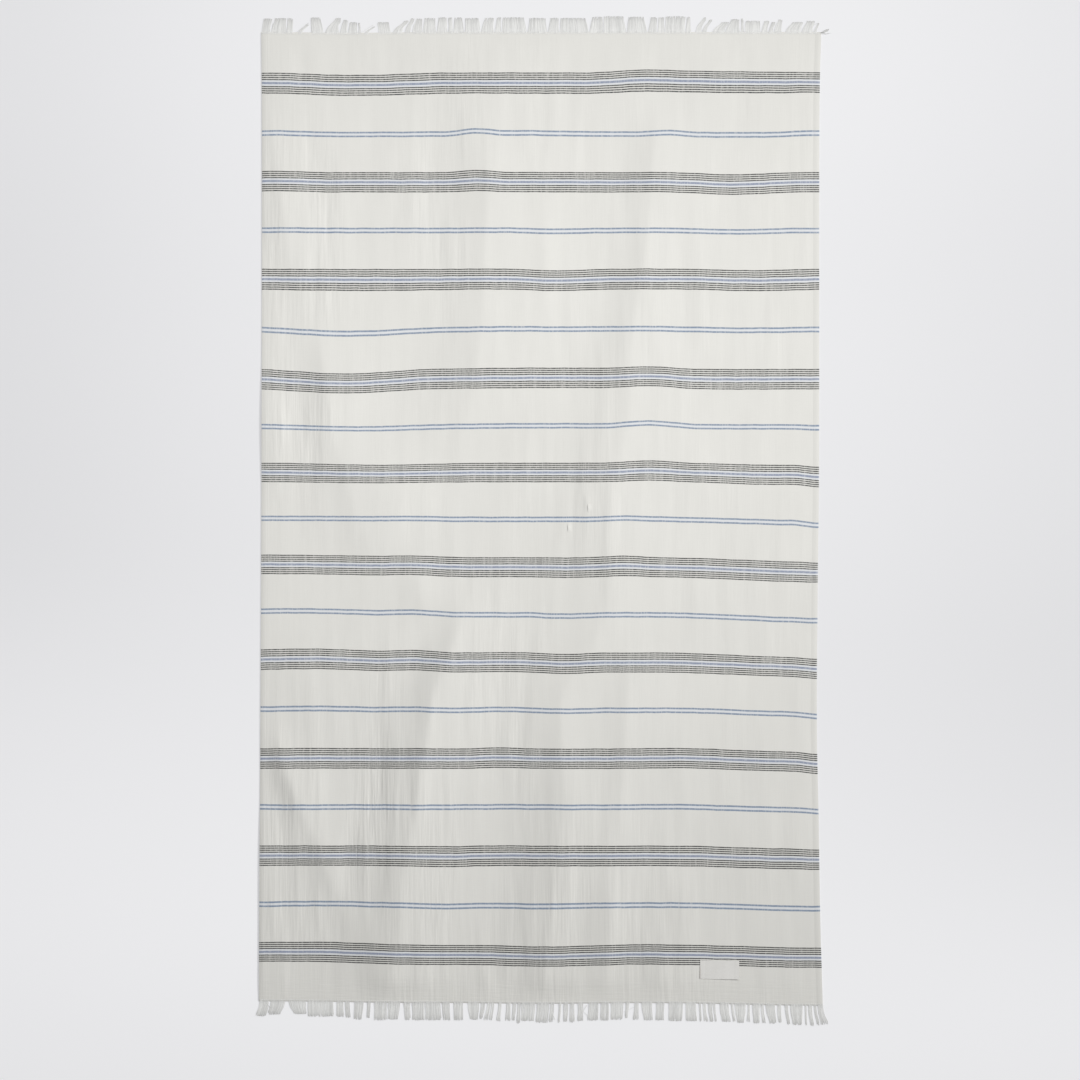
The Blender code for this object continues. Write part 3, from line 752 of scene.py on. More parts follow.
def striped_cotton():
    cotton = Finish("crinkled_striped_cotton")
    woven = cotton.add("ShaderNodeUVMap", {"uv_map": "weave"}, {})
    split = cotton.add("ShaderNodeSeparateXYZ", {}, {0: woven})
    across = split / MM
    along = split.output(1) / MM

    fine = cotton.grain(woven, 2.6, 55, detail=3.0, layer=3.0)
    broad = cotton.grain(woven, 7.0, 110, detail=2.0, layer=11.0)
    gather = cotton.add("ShaderNodeAttribute", {"attribute_name": "gather"}, {}, output=2)
    weft = cotton.grain(woven, 26, 0.9, detail=2.0, layer=31.0)
    warp = cotton.grain(woven, 0.9, 30, detail=2.0, layer=41.0)
    mottle = cotton.grain(woven, 90, 120, detail=3.0, layer=51.0)
    creep = cotton.grain(woven, 34, 90, detail=2.0, layer=61.0)

    row = (FIRST_BAND - along + (creep - 0.5) * 1.6) / HALF_PITCH
    count = round(row)
    off = abs((row - count) * HALF_PITCH)
    is_pair = count.is_odd()
    inside = count.rising(-0.6, -0.4) * count.falling(LAST_STRIPE + 0.4, LAST_STRIPE + 0.6)
    in_band = (1.0 - is_pair) * inside
    in_pair = is_pair * inside

    def line(distance, half):
        return distance.falling(half - LINE_SOFT, half + LINE_SOFT)

    step = round(((off - CHARCOAL_FIRST) / CHARCOAL_PITCH).at_least(0.0).at_most(3.0))
    charcoal = line(abs(off - CHARCOAL_FIRST - step * CHARCOAL_PITCH), CHARCOAL_HALF) * in_band
    blue = line(off, BLUE_HALF) * in_band
    white = line(off, WHITE_EDGE) * in_band
    pair = line(abs(off - PAIR_OFFSET), PAIR_HALF) * in_pair
    between = line(off, PAIR_OFFSET) * in_pair

    dots = cotton.grain(woven, 2.2, 4.5, detail=1.0, layer=71.0)
    # The stripes are drawn a little stronger towards the lower end, and their strength varies with the noise.
    stripe_strength = 0.925 + 0.08 * along.falling(-800.0, -100.0)
    stripe_strength = stripe_strength + 0.85 * (fine - 0.5) + 0.40 * (broad - 0.5) + 0.75 * (dots - 0.5)
    # Painted shade: the ground is drawn darker where the fine crinkle noise is low, in the crinkle's hollows, and more
    # so where the cloth is gathered. The mottle and yarn terms are the cloth's own tone.
    shade = 1.0 + 0.05 * (mottle - 0.5) + 0.05 * gather * (fine - 0.5) + 0.03 * (weft + warp - 1.0)
    edge = abs(across).rising(SELVEDGE_LINE, SELVEDGE_FLAT)
    edge_line = abs(abs(across) - SELVEDGE_LINE).falling(0.2, 1.1)
    ground = cotton.shade(GROUND, shade * (1.0 - 0.05 * edge - 0.06 * edge_line))
    colour = cotton.tint((white + between).at_most(1.0) * 0.9, ground, cotton.colour(*WHITE_YARN))
    colour = cotton.tint((blue * stripe_strength).at_most(1.0), colour, cotton.colour(*BLUE_YARN))
    colour = cotton.tint((pair * stripe_strength).at_most(1.0), colour, cotton.colour(*PAIR_YARN))
    colour = cotton.tint((charcoal * stripe_strength).at_most(1.0), colour, cotton.colour(*CHARCOAL))
    cotton.plug(cotton.shader.inputs["Base Color"], colour)
    cotton.plug(cotton.shader.inputs["Roughness"], 0.86 + 0.1 * (weft - 0.5))

    hem_creases = cotton.grain(woven, 45, 5, detail=2.0, layer=81.0) * along.falling(-835.0, -790.0)
    height = gather * (0.075 * fine + 0.42 * broad) + 0.05 * weft + 0.05 * warp + 0.12 * edge
    height = height + 0.25 * hem_creases
    for pinch in PINCHES:
        offset = across - pinch.across
        steep = offset.rising(-PINCH_STEEP * pinch.half_width, 0.0)
        gentle = offset.falling(0.0, PINCH_GENTLE * pinch.half_width)
        length = abs(along - pinch.along).falling(0.0, pinch.half_length)
        height = height + pinch.height * (steep * gentle) * length
    cotton.plug(cotton.shader.inputs["Normal"], cotton.bump(height))
    cotton.shader.inputs["Specular IOR Level"].default_value = 0.25
    cotton.shader.inputs["Sheen Weight"].default_value = 0.12
    cotton.shader.inputs["Sheen Roughness"].default_value = 0.6
    return cotton.material


cotton_finish = striped_cotton()
towel.data.materials.append(cotton_finish)
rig.replaces(towel, "towel_cloth")
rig.slot(towel, "cotton")
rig.ride(towel, "root")

# ---------------------------------------------------------------------------------------------
# The two fringes: the last wefts are pulled out and the warp ends left free. A row of stitches
# on a narrow strip at the hem holds them, and they lie on the floor in uneven locks.
JOIN_GAP = 0.05
HEAD_DEPTH = 5.3
HEAD_CELLS = 3
ROOT_INSET = (1.2, 3.4)
FOOT_BEGINS = 0.5
FOOT_LEAN = 0.3
END_BEGINS = 0.86
END_LEAN = 0.88
THREAD_PITCH = 0.85
THREAD_HALF = 0.62
THREAD_FLATNESS = 0.24
THREAD_RINGS = 9
OVER_SHARE = 0.55
OVER_RISE = 0.14
STRAND_RISE = 0.35
TOP_FILLED = 3.6
BOTTOM_FILLED = 1.6
SIDE_INSET = 0.7
FILL_ENDS = 0.6
BUNCH_WIDTH = 5.5
BUNCH_WIDENS = 0.06
BUNCH_PULLS = 0.6
SHORT_ENDS = (0.0, 0.0, 0.03, 0.09)
SLIT_FADES = 2.5
THREAD_VARIES = 0.12
TIP_PAINTED_SHADE = 0.2
TIP_SLIM = 0.7
TIP_ROUNDS = 0.02
STITCH_TONE = 0.97
STITCH_PITCH = 3.8
STITCH_DISTANCE = 1.9
STITCH_HALF_LONG = 1.25
STITCH_HALF_WIDE = 0.5
STITCH_HALF_TALL = 0.28
STITCH_RINGS = ((-1.0, 0.35), (-0.5, 0.9), (0.5, 0.9), (1.0, 0.35))
# The upper fringe's colour is drawn darker than the lower one's: painted shade.
TOP_PAINTED_SHADE = 0.92
BOTTOM_TONE = 1.0

Fill = namedtuple("Fill", "left right")
LEANS = table("along share", (0.0, 0.0), (FOOT_BEGINS, FOOT_LEAN), (END_BEGINS, END_LEAN), (1.0, 1.0))

# The locks: where each one's two sides are at its root and at its tip, and how far out it reaches.
LOCK_COLUMNS = "left right tip_left tip_right reach"
FRINGE_TOP = table(
    LOCK_COLUMNS,
    (-498, -483, -496, -477, 29),
    (-481, -454, -474, -454, 30),
    (-453, -442, -452, -442, 30),
    (-434, -426, -419, -412, 19),
    (-409, -388, -410, -392, 32),
    (-385, -360, -365, -356, 31),
    (-358, -345, -352, -343, 28),
    (-343, -327, -341, -327, 24),
    (-324, -320, -325, -321, 23),
    (-316, -308, -300, -293, 16),
    (-288, -267, -291, -270, 24),
    (-265, -248, -243, -234, 26),
    (-243, -233, -231, -224, 30),
    (-229, -211, -222, -210, 29),
    (-209, -186, -208, -188, 30),
    (-184, -166, -181, -167, 31),
    (-163, -156, -164, -156, 31),
    (-154, -136, -153, -138, 31),
    (-134, -106, -134, -109, 30),
    (-105, -83, -99, -82, 30),
    (-80, -70, -77, -69, 31),
    (-68, -24, -67, -28, 31),
    (-21, 12, -19, 10, 30),
    (15, 34, 19, 34, 30),
    (36, 87, 37, 82, 30),
    (89, 113, 93, 112, 32),
    (114, 154, 114, 150, 33),
    (156, 191, 158, 186, 32),
    (194, 209, 198, 209, 31),
    (211, 223, 211, 223, 31),
    (224, 259, 225, 260, 33),
    (261, 271, 263, 269, 32),
    (277, 287, 292, 299, 31),
    (289, 297, 303, 309, 27),
    (307, 328, 325, 338, 23),
    (331, 357, 343, 356, 28),
    (360, 365, 359, 364, 29),
    (367, 394, 367, 394, 25),
    (396, 406, 402, 411, 25),
    (409, 416, 415, 422, 23),
    (418, 432, 426, 434, 27),
    (437, 466, 451, 471, 23),
    (468, 487, 477, 492, 25),
    (489, 495, 496, 501, 21),
)
FRINGE_BOTTOM = table(
    LOCK_COLUMNS,
    (-501, -484, -509, -489, 32),
    (-482, -454, -487, -465, 29),
    (-451, -418, -440, -417, 28),
    (-416, -369, -415, -368, 32),
    (-364, -351, -365, -350, 32),
    (-349, -340, -348, -338, 33),
    (-332, -314, -333, -318, 36),
    (-309, -302, -310, -305, 33),
    (-296, -274, -297, -274, 37),
    (-272, -249, -273, -253, 35),
    (-244, -231, -242, -231, 36),
    (-229, -206, -228, -206, 36),
    (-205, -178, -205, -175, 36),
    (-176, -161, -173, -159, 36),
    (-155, -137, -155, -138, 36),
    (-130, -108, -126, -111, 35),
    (-106, -97, -109, -103, 33),
    (-94, -88, -101, -93, 35),
    (-87, -81, -91, -85, 35),
    (-74, -68, -78, -71, 37),
    (-60, -52, -62, -52, 36),
    (-49, -42, -50, -45, 35),
    (-40, -34, -42, -36, 40),
    (-33, -8, -34, -10, 36),
    (-5, 17, -8, 13, 39),
    (19, 26, 15, 23, 38),
    (34, 39, 31, 36, 39),
    (42, 51, 41, 49, 38),
    (54, 62, 52, 62, 39),
    (68, 78, 67, 78, 37),
    (87, 105, 83, 104, 36),
    (109, 124, 108, 123, 36),
    (127, 150, 126, 148, 35),
    (153, 161, 151, 157, 32),
    (169, 177, 165, 177, 35),
    (181, 201, 186, 202, 36),
    (208, 223, 206, 222, 36),
    (230, 257, 230, 255, 37),
    (260, 279, 260, 281, 37),
    (284, 288, 285, 289, 37),
    (291, 297, 292, 302, 37),
    (300, 308, 304, 310, 37),
    (309, 314, 312, 317, 37),
    (321, 338, 326, 343, 37),
    (341, 346, 345, 350, 36),
    (348, 369, 352, 366, 38),
    (372, 376, 370, 376, 36),
    (379, 394, 381, 394, 38),
    (395, 400, 398, 404, 38),
    (403, 421, 410, 423, 38),
    (424, 432, 426, 433, 36),
    (437, 444, 442, 448, 39),
    (447, 471, 453, 469, 40),
    (473, 477, 474, 478, 40),
    (479, 487, 484, 490, 41),
    (489, 494, 496, 500, 40),
    (496, 506, 502, 517, 39),
)

# Where the threads of a lock are parted: from how far out to how far, and how widely.
SLIT_COLUMNS = "x near far half_width"
SLITS_TOP = table(
    SLIT_COLUMNS,
    (-476, 12, 34, 1.3),
    (-469, 20, 36, 1.0),
    (-453, 14, 36, 1.0),
    (-359, 0, 40, 1.6),
    (-345, 16, 34, 1.2),
    (-235, 2, 14, 1.2),
    (-224, 14, 36, 1.2),
    (-208, 18, 38, 1.2),
    (-145, 10, 22, 0.9),
    (-137, 16, 38, 1.0),
    (-94, 14, 38, 0.9),
    (-48, 18, 40, 0.8),
    (51, 16, 38, 0.8),
    (103, 14, 40, 0.9),
    (121, 16, 40, 0.8),
    (135, 20, 42, 0.7),
    (243, 20, 42, 0.7),
    (316, 1, 12, 1.3),
    (344, 14, 32, 0.8),
    (381, 14, 34, 0.8),
    (425, 10, 30, 0.9),
    (484, 8, 26, 1.0),
)
SLITS_BOTTOM = table(
    SLIT_COLUMNS,
    (-479, 16, 36, 0.9),
    (-392, 24, 44, 0.8),
    (-288, 3, 14, 1.0),
    (-280, 3, 18, 1.3),
    (-269, 3, 20, 1.2),
    (-256, 4, 18, 1.0),
    (-192, 22, 44, 0.8),
    (-171, 18, 44, 1.0),
    (-29, 8, 24, 1.2),
    (-21, 26, 44, 0.9),
    (45, 4, 26, 0.9),
    (58, 8, 30, 0.9),
    (98, 4, 18, 1.0),
    (117, 8, 38, 0.7),
    (247, 3, 16, 0.9),
    (270, 4, 22, 0.8),
    (359, 20, 44, 0.9),
    (461, 16, 44, 0.8),
)

# Single threads that cross the others: where each one starts and ends, and how far out.
STRAND_COLUMNS = "x near tip far"
STRANDS_TOP = table(
    STRAND_COLUMNS,
    (-435, 5, -413, 22),
    (-318, 6, -298, 19),
    (311, 4, 345, 22),
    (468, 5, 497, 21),
)
STRANDS_BOTTOM = table(
    STRAND_COLUMNS,
    (-492, 6, -482, 17),
    (-485, 5, -494, 18),
    (72, 13, 93, 35),
    (84, 8, 70, 30),
    (150, 21, 169, 12),
    (18, 12, 27, 34),
)

# The knotted tuft at the upper right corner, from its knot outwards. Most of its threads bend up
# the towel, and one in a few lies apart, straight and a little longer.
TUFT_DISTANCE = 3.3
TUFT_THREADS = 26
TUFT_APART_EVERY = 5
TUFT_APART_LONGER = 4.0
TUFT_ENDS_VARY = 3.5
TUFT_TONE = 0.92
TUFT_BENDS = 0.5
TUFT_CLEARS = 0.35
TUFT = table(
    "x half_width low high",
    (499.0, 1.2, 0.3, 0.9),
    (506.0, 1.6, 0.0, 1.2),
    (510.5, 4.2, 0.0, 2.6),
    (517.5, 2.2, 0.0, 0.9),
)


def laid_out(x, distance, middle, reach, hem, outward, above):
    """A thread's middle line, from the top of the strip down to the floor."""
    y = drifted(np.full_like(x, middle), hem) + outward * distance
    head = CLOTH_THICK * (1 - (1 - END_THINNING) * np.clip(distance * 3 / HEAD_DEPTH - 2, 0, 1))
    foot = reach * FOOT_BEGINS
    lift = np.clip(1 - (distance - HEAD_DEPTH) / (foot - HEAD_DEPTH), 0, 1)
    lift = lift * lift * (3 - 2 * lift)
    tall = THREAD_HALF * THREAD_FLATNESS
    rooted = fold_height(x, y) + ripple_height(x, y) + head + tall * 0.4
    z = rooted * lift + (tall + 0.02 + above) * (1 - lift)
    return np.stack((x, y, z), axis=1)


def thread_course(lock, fill, slits, u, over, hem, outward, loose):
    """One thread of a lock, root first. u runs from 0 to 1 across the lock. At their roots the
    threads also fill the narrow gaps between two locks."""
    inset = SIDE_INSET * (1 - 2 * u)
    root = lock.left + (lock.right - lock.left) * u + inset
    tip = lock.tip_left + (lock.tip_right - lock.tip_left) * u + inset
    start = loose.uniform(*ROOT_INSET)
    short = loose.choice(SHORT_ENDS)
    rounded = TIP_ROUNDS * abs(2 * u - 1) ** 3
    length = lock.reach * (1 - rounded - short) * loose.uniform(0.985, 1.015)
    t = np.linspace(0.0, 1.0, THREAD_RINGS)
    distance = start + (length - start) * t
    x = root + (tip - root) * follow(LEANS, np.minimum(distance / lock.reach, 1.0), "share")
    x += (fill.right * u - fill.left * (1 - u)) * hump(distance, lock.reach * FILL_ENDS)
    bunch = 2 * math.pi / (BUNCH_WIDTH + BUNCH_WIDENS * lock.reach)
    x += BUNCH_PULLS * np.sin(root * bunch + lock.left) * t
    x += loose.uniform(0.1, 0.7) * np.sin(t * loose.uniform(3.0, 6.0) + loose.uniform(0, 6.3)) * t
    for slit in slits:
        aside = x - slit.x
        open_here = hump(distance - (slit.near + slit.far) / 2, (slit.far - slit.near) / 2)
        x = x + np.sign(aside) * slit.half_width * open_here * np.exp(-np.abs(aside) / SLIT_FADES)
    above = over * OVER_RISE + 0.05 * np.sin(t * 7 + loose.uniform(0, 6.3)) ** 2
    middle = (lock.left + lock.right) / 2
    return laid_out(x, distance, middle, lock.reach, hem, outward, above)


def tuft_courses(hem, loose):
    """The threads of the knotted tuft."""
    courses = []
    y = float(drifted(np.array([TUFT[0].x]), hem)[0]) + TUFT_DISTANCE
    for index in range(TUFT_THREADS):
        apart = index % TUFT_APART_EVERY == 0
        aside = loose.uniform(-0.7, -0.2) if apart else loose.uniform(-0.4, 1.0)
        above = loose.uniform(0.1, 0.95)
        longer = TUFT_APART_LONGER if apart else 0.0
        end = TUFT[-1].x + longer - loose.uniform(0, TUFT_ENDS_VARY)
        x = np.linspace(TUFT[0].x, end, THREAD_RINGS)
        bent = 0.0 if apart else TUFT_BENDS * np.maximum(x - TUFT[1].x, 0.0)
        low = np.maximum(follow(TUFT, x, "low"), 0.0) + TUFT_CLEARS
        z = low + (follow(TUFT, x, "high") - low) * above
        courses.append(np.stack((x, y + bent + aside * follow(TUFT, x, "half_width"), z), axis=1))
    return courses


def thread_mesh(courses, outward, tone, chance):
    """One mesh of four-sided threads round their middle lines, and how light each point is: the threads vary, and
    their tips get painted shade."""
    points, faces, tones = [], [], []
    for course in courses:
        count = len(course)
        base = len(points)
        own = tone * chance.uniform(1 - THREAD_VARIES, 1 + THREAD_VARIES)
        for index, (x, y, z) in enumerate(course):
            slim = 1.0 if index < count - 1 else TIP_SLIM
            half = THREAD_HALF * slim
            tall = half * THREAD_FLATNESS
            points += [(x - half, y, z), (x, y, z - tall), (x + half, y, z), (x, y, z + tall)]
            out = index / (count - 1)
            # Painted shade: the last rings of each thread are drawn darker towards the tip.
            tones += [own * (1 - TIP_PAINTED_SHADE * out ** 5)] * 4
        for index in range(count - 1):
            near = base + index * 4
            for side in range(4):
                other = (side + 1) % 4
                face = (near + side, near + other, near + 4 + other, near + 4 + side)
                faces.append(face if outward < 0 else face[::-1])
        end = base + (count - 1) * 4
        first = (base + 3, base + 2, base + 1, base)
        final = (end, end + 1, end + 2, end + 3)
        faces += [first, final] if outward < 0 else [first[::-1], final[::-1]]
    return points, faces, tones


def stitch_mesh(hem, outward, chance):
    """The row of stitches along the strip, each a small six-sided bead of thread."""
    points, faces = [], []
    sides = 6
    count = int(CLOTH_WIDTH / STITCH_PITCH)
    for index in range(count):
        across = -CLOTH_WIDTH / 2 + (index + 0.5) * CLOTH_WIDTH / count
        along = hem + outward * (STITCH_DISTANCE + chance.uniform(-0.25, 0.25))
        (x, y, z), = lay_flat(np.array([across]), np.array([along]))
        z += CLOTH_THICK
        base = len(points)
        for step, swell in STITCH_RINGS:
            for turn in range(sides):
                angle = turn * 2 * math.pi / sides
                points.append((
                    x + step * STITCH_HALF_LONG,
                    y + STITCH_HALF_WIDE * swell * math.cos(angle),
                    z + STITCH_HALF_TALL * swell * math.sin(angle),
                ))
        for ring in range(len(STITCH_RINGS) - 1):
            near = base + ring * sides
            for turn in range(sides):
                other = (turn + 1) % sides
                faces.append((near + turn, near + other, near + sides + other, near + sides + turn))
        end = base + (len(STITCH_RINGS) - 1) * sides
        faces.append(tuple(base + turn for turn in range(sides)))
        faces.append(tuple(end + turn for turn in reversed(range(sides))))
    return points, faces


def new_piece(name, points, faces):
    mesh = bpy.data.meshes.new(name)
    mesh.from_pydata([(x * MM, y * MM, z * MM) for x, y, z in points], [], faces)
    piece = bpy.data.objects.new(name, mesh)
    bpy.context.scene.collection.objects.link(piece)
    select_only(piece)
    bpy.ops.object.mode_set(mode="EDIT")
    bpy.ops.mesh.select_all(action="SELECT")
    bpy.ops.mesh.normals_make_consistent(inside=False)
    bpy.ops.object.mode_set(mode="OBJECT")
    return piece


def fringe_finish():
    ends = Finish("fringe_warp_ends")
    place = ends.add("ShaderNodeTexCoord", {}, {}, output=3)
    ply = ends.grain(place, 1.1, 9.0, detail=2.0, layer=5.0)
    length = ends.grain(place, 6.0, 14.0, detail=2.0, layer=15.0)
    # The tone attribute carries painted shade: at the thread tips, and over the whole upper fringe.
    tone = ends.add("ShaderNodeAttribute", {"attribute_name": "tone"}, {}, output=2)
    shade = (0.96 + 0.10 * ply + 0.06 * (length - 0.5)) * tone
    ends.plug(ends.shader.inputs["Base Color"], ends.shade((0.715, 0.715, 0.70), shade))
    ends.plug(ends.shader.inputs["Roughness"], 0.85 + 0.1 * (ply - 0.5))
    ends.plug(ends.shader.inputs["Normal"], ends.bump(0.15 * ends.grain(place, 0.5, 0.8, detail=1.0)))
    ends.shader.inputs["Specular IOR Level"].default_value = 0.25
    ends.shader.inputs["Sheen Weight"].default_value = 0.15
    return ends.material


fringe_material = fringe_finish()


def make_fringe(name, node, locks, slits, strands, hem, outward, filled, tone, seed):
    loose = random.Random(seed)
    courses = []
    for strand in strands:
        x = np.linspace(strand.x, strand.tip, THREAD_RINGS)
        distance = np.linspace(strand.near, strand.far, THREAD_RINGS)
        reach = max(strand.near, strand.far)
        courses.append(laid_out(x, distance, strand.x, reach, hem, outward, STRAND_RISE))
    for index, lock in enumerate(locks):
        before = lock.left - locks[index - 1].right if index else filled
        after = locks[index + 1].left - lock.right if index + 1 < len(locks) else filled
        fill = Fill(*(gap / 2 if gap < filled else 0.0 for gap in (before, after)))
        across = max(int((lock.right - lock.left + fill.left + fill.right) / THREAD_PITCH), 3)
        for over, number in ((0, across), (1, max(int(across * OVER_SHARE), 2))):
            for place in range(number):
                u = (place + loose.uniform(0.2, 0.8)) / number
                courses.append(thread_course(lock, fill, slits, u, over, hem, outward, loose))
    tuft = tuft_courses(hem, loose) if outward > 0 else []
    points, faces, tones = thread_mesh(courses + tuft, outward, tone, loose)
    for point in range(len(courses) * THREAD_RINGS * 4, len(tones)):
        tones[point] *= TUFT_TONE
    threads = new_piece(f"{name}_threads", points, faces)
    lightness = threads.data.attributes.new("tone", "FLOAT", "POINT")
    lightness.data.foreach_set("value", tones)
    stitches = new_piece(f"{name}_stitches", *stitch_mesh(hem, outward, loose))
    lightness = stitches.data.attributes.new("tone", "FLOAT", "POINT")
    lightness.data.foreach_set("value", [tone * STITCH_TONE] * len(stitches.data.vertices))
    near, far = sorted((hem + outward * JOIN_GAP, hem + outward * HEAD_DEPTH))
    outer = hem + outward * HEAD_DEPTH
    strip = woven_sheet(name, CELLS_ACROSS, HEAD_CELLS, near, far, outer)
    strip.data.materials.append(cotton_finish)
    strip.data.materials.append(fringe_material)
    for piece in (threads, stitches):
        piece.data.materials.append(fringe_material)
    bpy.ops.object.select_all(action="DESELECT")
    for piece in (threads, stitches, strip):
        piece.select_set(True)
    bpy.context.view_layer.objects.active = strip
    bpy.ops.object.join()
    bpy.ops.object.shade_smooth_by_angle(angle=SMOOTH_ANGLE)
    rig.replaces(strip, node)
    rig.slot(strip, "fringe")
    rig.ride(strip, "root")
    return strip


top_fringe = make_fringe(
    "fringe_top_threads", "fringe_top", FRINGE_TOP, SLITS_TOP, STRANDS_TOP,
    HEM_TOP, 1, TOP_FILLED, TOP_PAINTED_SHADE, 11)
bottom_fringe = make_fringe(
    "fringe_bottom_threads", "fringe_bottom", FRINGE_BOTTOM, SLITS_BOTTOM, STRANDS_BOTTOM,
    HEM_BOTTOM, -1, BOTTOM_FILLED, BOTTOM_TONE, 23)

# ---------------------------------------------------------------------------------------------
# The label: a short length of white satin tape with its two ends folded under, sewn on over the
# last band with white thread. Its lower right corner stands a little clear. It is blank.
LABEL_WIDTH = 70.0
LABEL_HEIGHT = 33.0
LABEL_THICK = 0.4
LABEL_X = 321.0
LABEL_Y = -804.4
LABEL_TURN = math.radians(-1.3)
LABEL_GAP = 0.2
LABEL_LIFT_LEFT = 0.0
LABEL_LIFT_RIGHT = 1.5
LABEL_CELLS = (56, 28)
FOLD_UNDER = 7.0
LABEL_WHITE = (0.69, 0.68, 0.655)
LABEL_SHADED = (0.40, 0.33, 0.29)


def lay_label(across, along):
    """Where points of the label's underside lie, from their places on the flat tape."""
    x = LABEL_X + across * math.cos(LABEL_TURN) - along * math.sin(LABEL_TURN)
    y = LABEL_Y + across * math.sin(LABEL_TURN) + along * math.cos(LABEL_TURN)
    corner = LABEL_LIFT_LEFT + (LABEL_LIFT_RIGHT - LABEL_LIFT_LEFT) * (0.5 + across / LABEL_WIDTH)
    lift = corner * (0.5 - along / LABEL_HEIGHT) ** 2
    ripple = ripple_height(x, y)
    z = fold_height(x, y) + ripple + CLOTH_THICK + LABEL_GAP + lift
    return np.stack((x, y, z), axis=1)


bpy.ops.object.select_all(action="DESELECT")
bpy.ops.mesh.primitive_grid_add(x_subdivisions=LABEL_CELLS[0], y_subdivisions=LABEL_CELLS[1], size=1.0)
label = bpy.context.object
label.name = "label_tape"
label.data.name = "label_tape"
while label.data.uv_layers:
    label.data.uv_layers.remove(label.data.uv_layers[0])
flat_points = points_of(label.data)[:, :2] * (LABEL_WIDTH, LABEL_HEIGHT)
label.data.vertices.foreach_set("co", (lay_label(flat_points[:, 0], flat_points[:, 1]) * MM).ravel())
write_uv(label.data, "weave", (flat_points * MM)[corners_of(label.data)])
select_only(label)
tape = label.modifiers.new("thickness", "SOLIDIFY")
tape.thickness = LABEL_THICK * MM
tape.offset = 1.0
bpy.ops.object.modifier_apply(modifier="thickness")
bpy.ops.object.shade_smooth_by_angle(angle=SMOOTH_ANGLE)


def label_finish():
    satin = Finish("white_satin_tape")
    place = satin.add("ShaderNodeUVMap", {"uv_map": "weave"}, {})
    split = satin.add("ShaderNodeSeparateXYZ", {}, {0: place})
    across = abs(split / MM)
    along = abs(split.output(1) / MM)
    left_end = (split / MM).falling(0.4 - LABEL_WIDTH / 2, 1.8 - LABEL_WIDTH / 2)
    painted_shadow_corner = left_end * (split.output(1) / MM).falling(-2.0, 8.0)
    rib = satin.grain(place, 5.0, 0.5, detail=2.0, layer=2.0)
    warp = satin.grain(place, 0.5, 5.0, detail=2.0, layer=8.0)
    cloud = satin.grain(place, 18.0, 12.0, detail=2.0, layer=12.0)
    rim = along.rising(LABEL_HEIGHT / 2 - 1.4, LABEL_HEIGHT / 2 - 0.6)
    shade = 0.97 + 0.05 * rib + 0.04 * (cloud - 0.5) + 0.03 * rim
    tape = satin.shade(LABEL_WHITE, shade)
    # Painted shadow: the lower left corner is tinted a warm shadow colour.
    tape = satin.tint(0.55 * painted_shadow_corner, tape, satin.colour(*LABEL_SHADED))
    satin.plug(satin.shader.inputs["Base Color"], tape)
    satin.plug(satin.shader.inputs["Roughness"], 0.55 + 0.2 * (rib - 0.5))
    fold_end = LABEL_WIDTH / 2 - FOLD_UNDER
    folded = across.rising(fold_end - 1.0, fold_end + 0.5)
    height = 0.12 * rib + 0.08 * warp + 0.10 * folded
    satin.plug(satin.shader.inputs["Normal"], satin.bump(height))
    satin.shader.inputs["Sheen Weight"].default_value = 0.1
    return satin.material


label.data.materials.append(label_finish())
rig.replaces(label, "label")
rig.slot(label, "label")
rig.ride(label, "root")
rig.sheet(towel, flat=(1.0, 1.7235), held="laid", with_pieces=[top_fringe, bottom_fringe, label])
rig.sheet(label, flat=(0.07, 0.033), held="laid", rests_on=[towel])

# ---------------------------------------------------------------------------------------------
# The studio: a pale floor with painted light, one large soft light above the towel's upper right, a soft sun, and even
# light from all round. The floor glows a little, which weakens the shadows on it, and its colour is painted lighter
# towards the bottom and the top and darker at the sides.
FLOOR_SIZE = 14.0
FLOOR_DEPTH = 0.0003
FLOOR_COLOUR = (0.492, 0.492, 0.498)
FLOOR_GLOW = 0.4
FLOOR_GLOW_COLOUR = (0.815, 0.815, 0.835, 1.0)
bpy.ops.object.select_all(action="DESELECT")
bpy.ops.mesh.primitive_plane_add(size=FLOOR_SIZE, location=(0, 0, -FLOOR_DEPTH))
floor = bpy.context.object
floor.name = "floor"
paper = Finish("pale_floor")
spot = paper.add("ShaderNodeTexCoord", {}, {}, output=3)
cloud = paper.grain(spot, 900, 900, detail=2.0)
floor_split = paper.add("ShaderNodeSeparateXYZ", {}, {0: spot})
up_floor = floor_split.output(1)
painted_light_below = (up_floor - 0.16 * floor_split.falling(-0.5, 0.1)).falling(-1.0, -0.15)
painted_shade_left = floor_split.falling(-1.0, -0.42) * up_floor.rising(-0.4, 0.1)
painted_shade_right = floor_split.rising(0.42, 1.0) * up_floor.rising(-0.95, -0.45)
# Painted light and shade: the floor's colour is lighter towards the bottom and the top, and darker at the two sides.
# The cloud is the paper's own tone.
tone = 0.87 + 0.27 * painted_light_below + 0.09 * up_floor.rising(0.4, 1.0) - 0.075 * (painted_shade_left + painted_shade_right)
tone = tone + 0.02 * (cloud - 0.5)
paper.plug(paper.shader.inputs["Base Color"], paper.shade(FLOOR_COLOUR, tone))
# Painted light: the floor glows a little, which weakens the shadows cast on it.
paper.shader.inputs["Emission Color"].default_value = FLOOR_GLOW_COLOUR
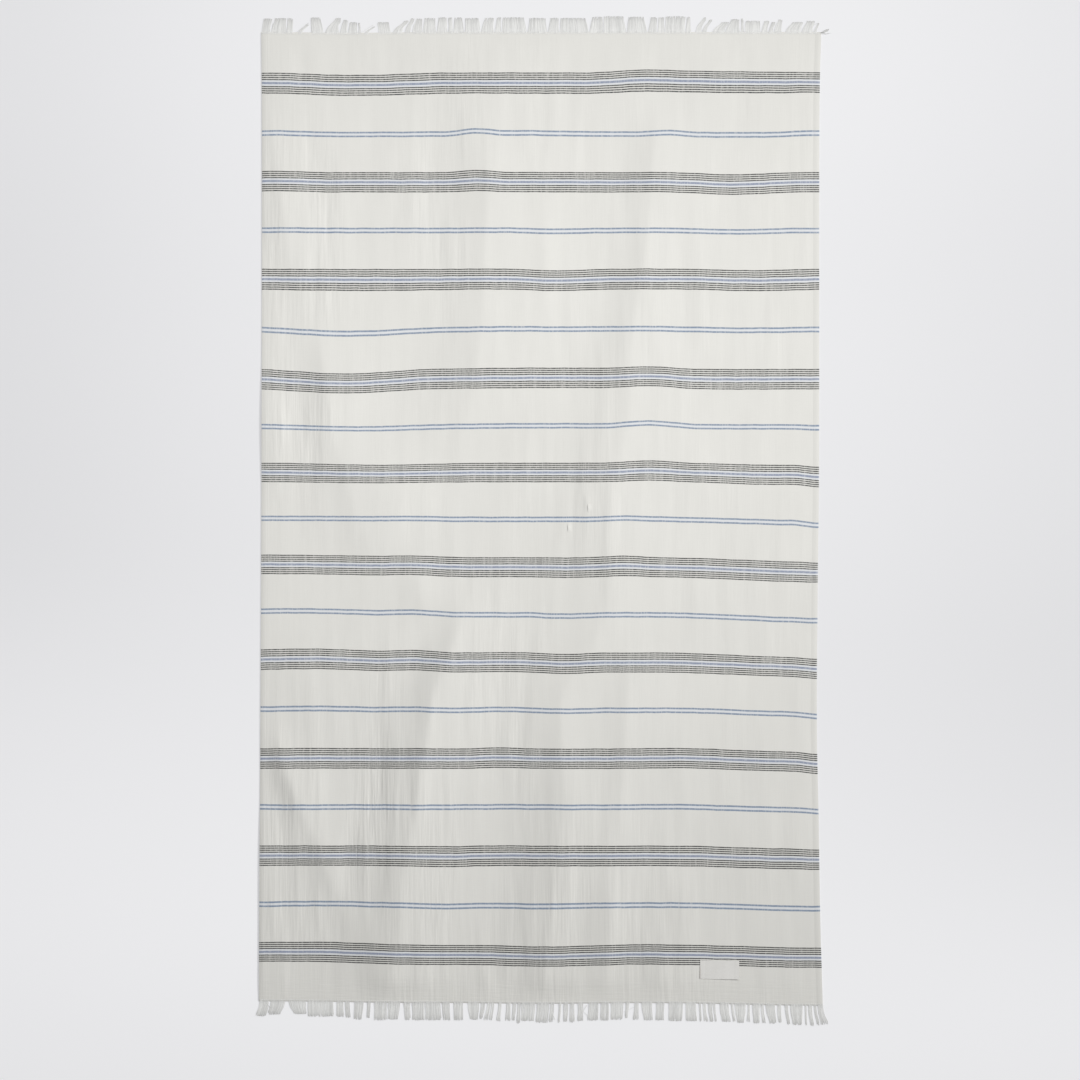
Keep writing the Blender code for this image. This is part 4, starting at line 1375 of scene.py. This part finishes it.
paper.shader.inputs["Emission Strength"].default_value = FLOOR_GLOW
paper.shader.inputs["Roughness"].default_value = 0.95
paper.shader.inputs["Specular IOR Level"].default_value = 0.1
floor.data.materials.append(paper.material)
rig.stage(floor)


def soft_light(name, place, target, size, watts, colour):
    data = bpy.data.lights.new(name, "AREA")
    data.shape = "RECTANGLE"
    data.size, data.size_y = size
    data.energy = watts
    data.color = colour
    light = bpy.data.objects.new(name, data)
    light.location = place
    light.rotation_euler = (Vector(target) - Vector(place)).to_track_quat("-Z", "Y").to_euler()
    light.visible_camera = False
    bpy.context.scene.collection.objects.link(light)
    return light


WHITE_LIGHT = (1.0, 1.0, 1.0)
soft_light("overhead", (0.4, 0.45, 1.7), (0.4, 0.45, 0.0), (3.4, 1.0), 26.5, WHITE_LIGHT)
SUN_FROM = (0.90, 0.28, 0.52)
SUN_WIDTH = math.radians(14)
side = bpy.data.lights.new("side", "SUN")
side.energy = 2.8
side.angle = SUN_WIDTH
side_light = bpy.data.objects.new("side", side)
side_light.rotation_euler = Vector(SUN_FROM).to_track_quat("Z", "Y").to_euler()
bpy.context.scene.collection.objects.link(side_light)

world = bpy.data.worlds.new("studio")
bpy.context.scene.world = world
world.use_nodes = True
background = world.node_tree.nodes["Background"]
background.inputs["Color"].default_value = (0.985, 0.99, 1.0, 1.0)
background.inputs["Strength"].default_value = 0.19

# The camera looks straight down, from a little below the towel's middle.
CAMERA_PLACE = (0.0, -0.0358, 5.0)
camera_data = bpy.data.cameras.new("camera")
camera_data.sensor_width = 36.0
camera_data.lens = 93.17
camera = bpy.data.objects.new("camera", camera_data)
camera.location = CAMERA_PLACE
camera.rotation_euler = (0.0, 0.0, 0.0)
bpy.context.scene.collection.objects.link(camera)
bpy.context.scene.camera = camera
bpy.context.scene.view_settings.view_transform = "Standard"

visual_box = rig.bounds()
with open("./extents.json", "w") as size_file:
    json.dump({
        "cad": [list(corner) for corner in cad_box],
        "visual": [list(corner) for corner in visual_box],
    }, size_file)
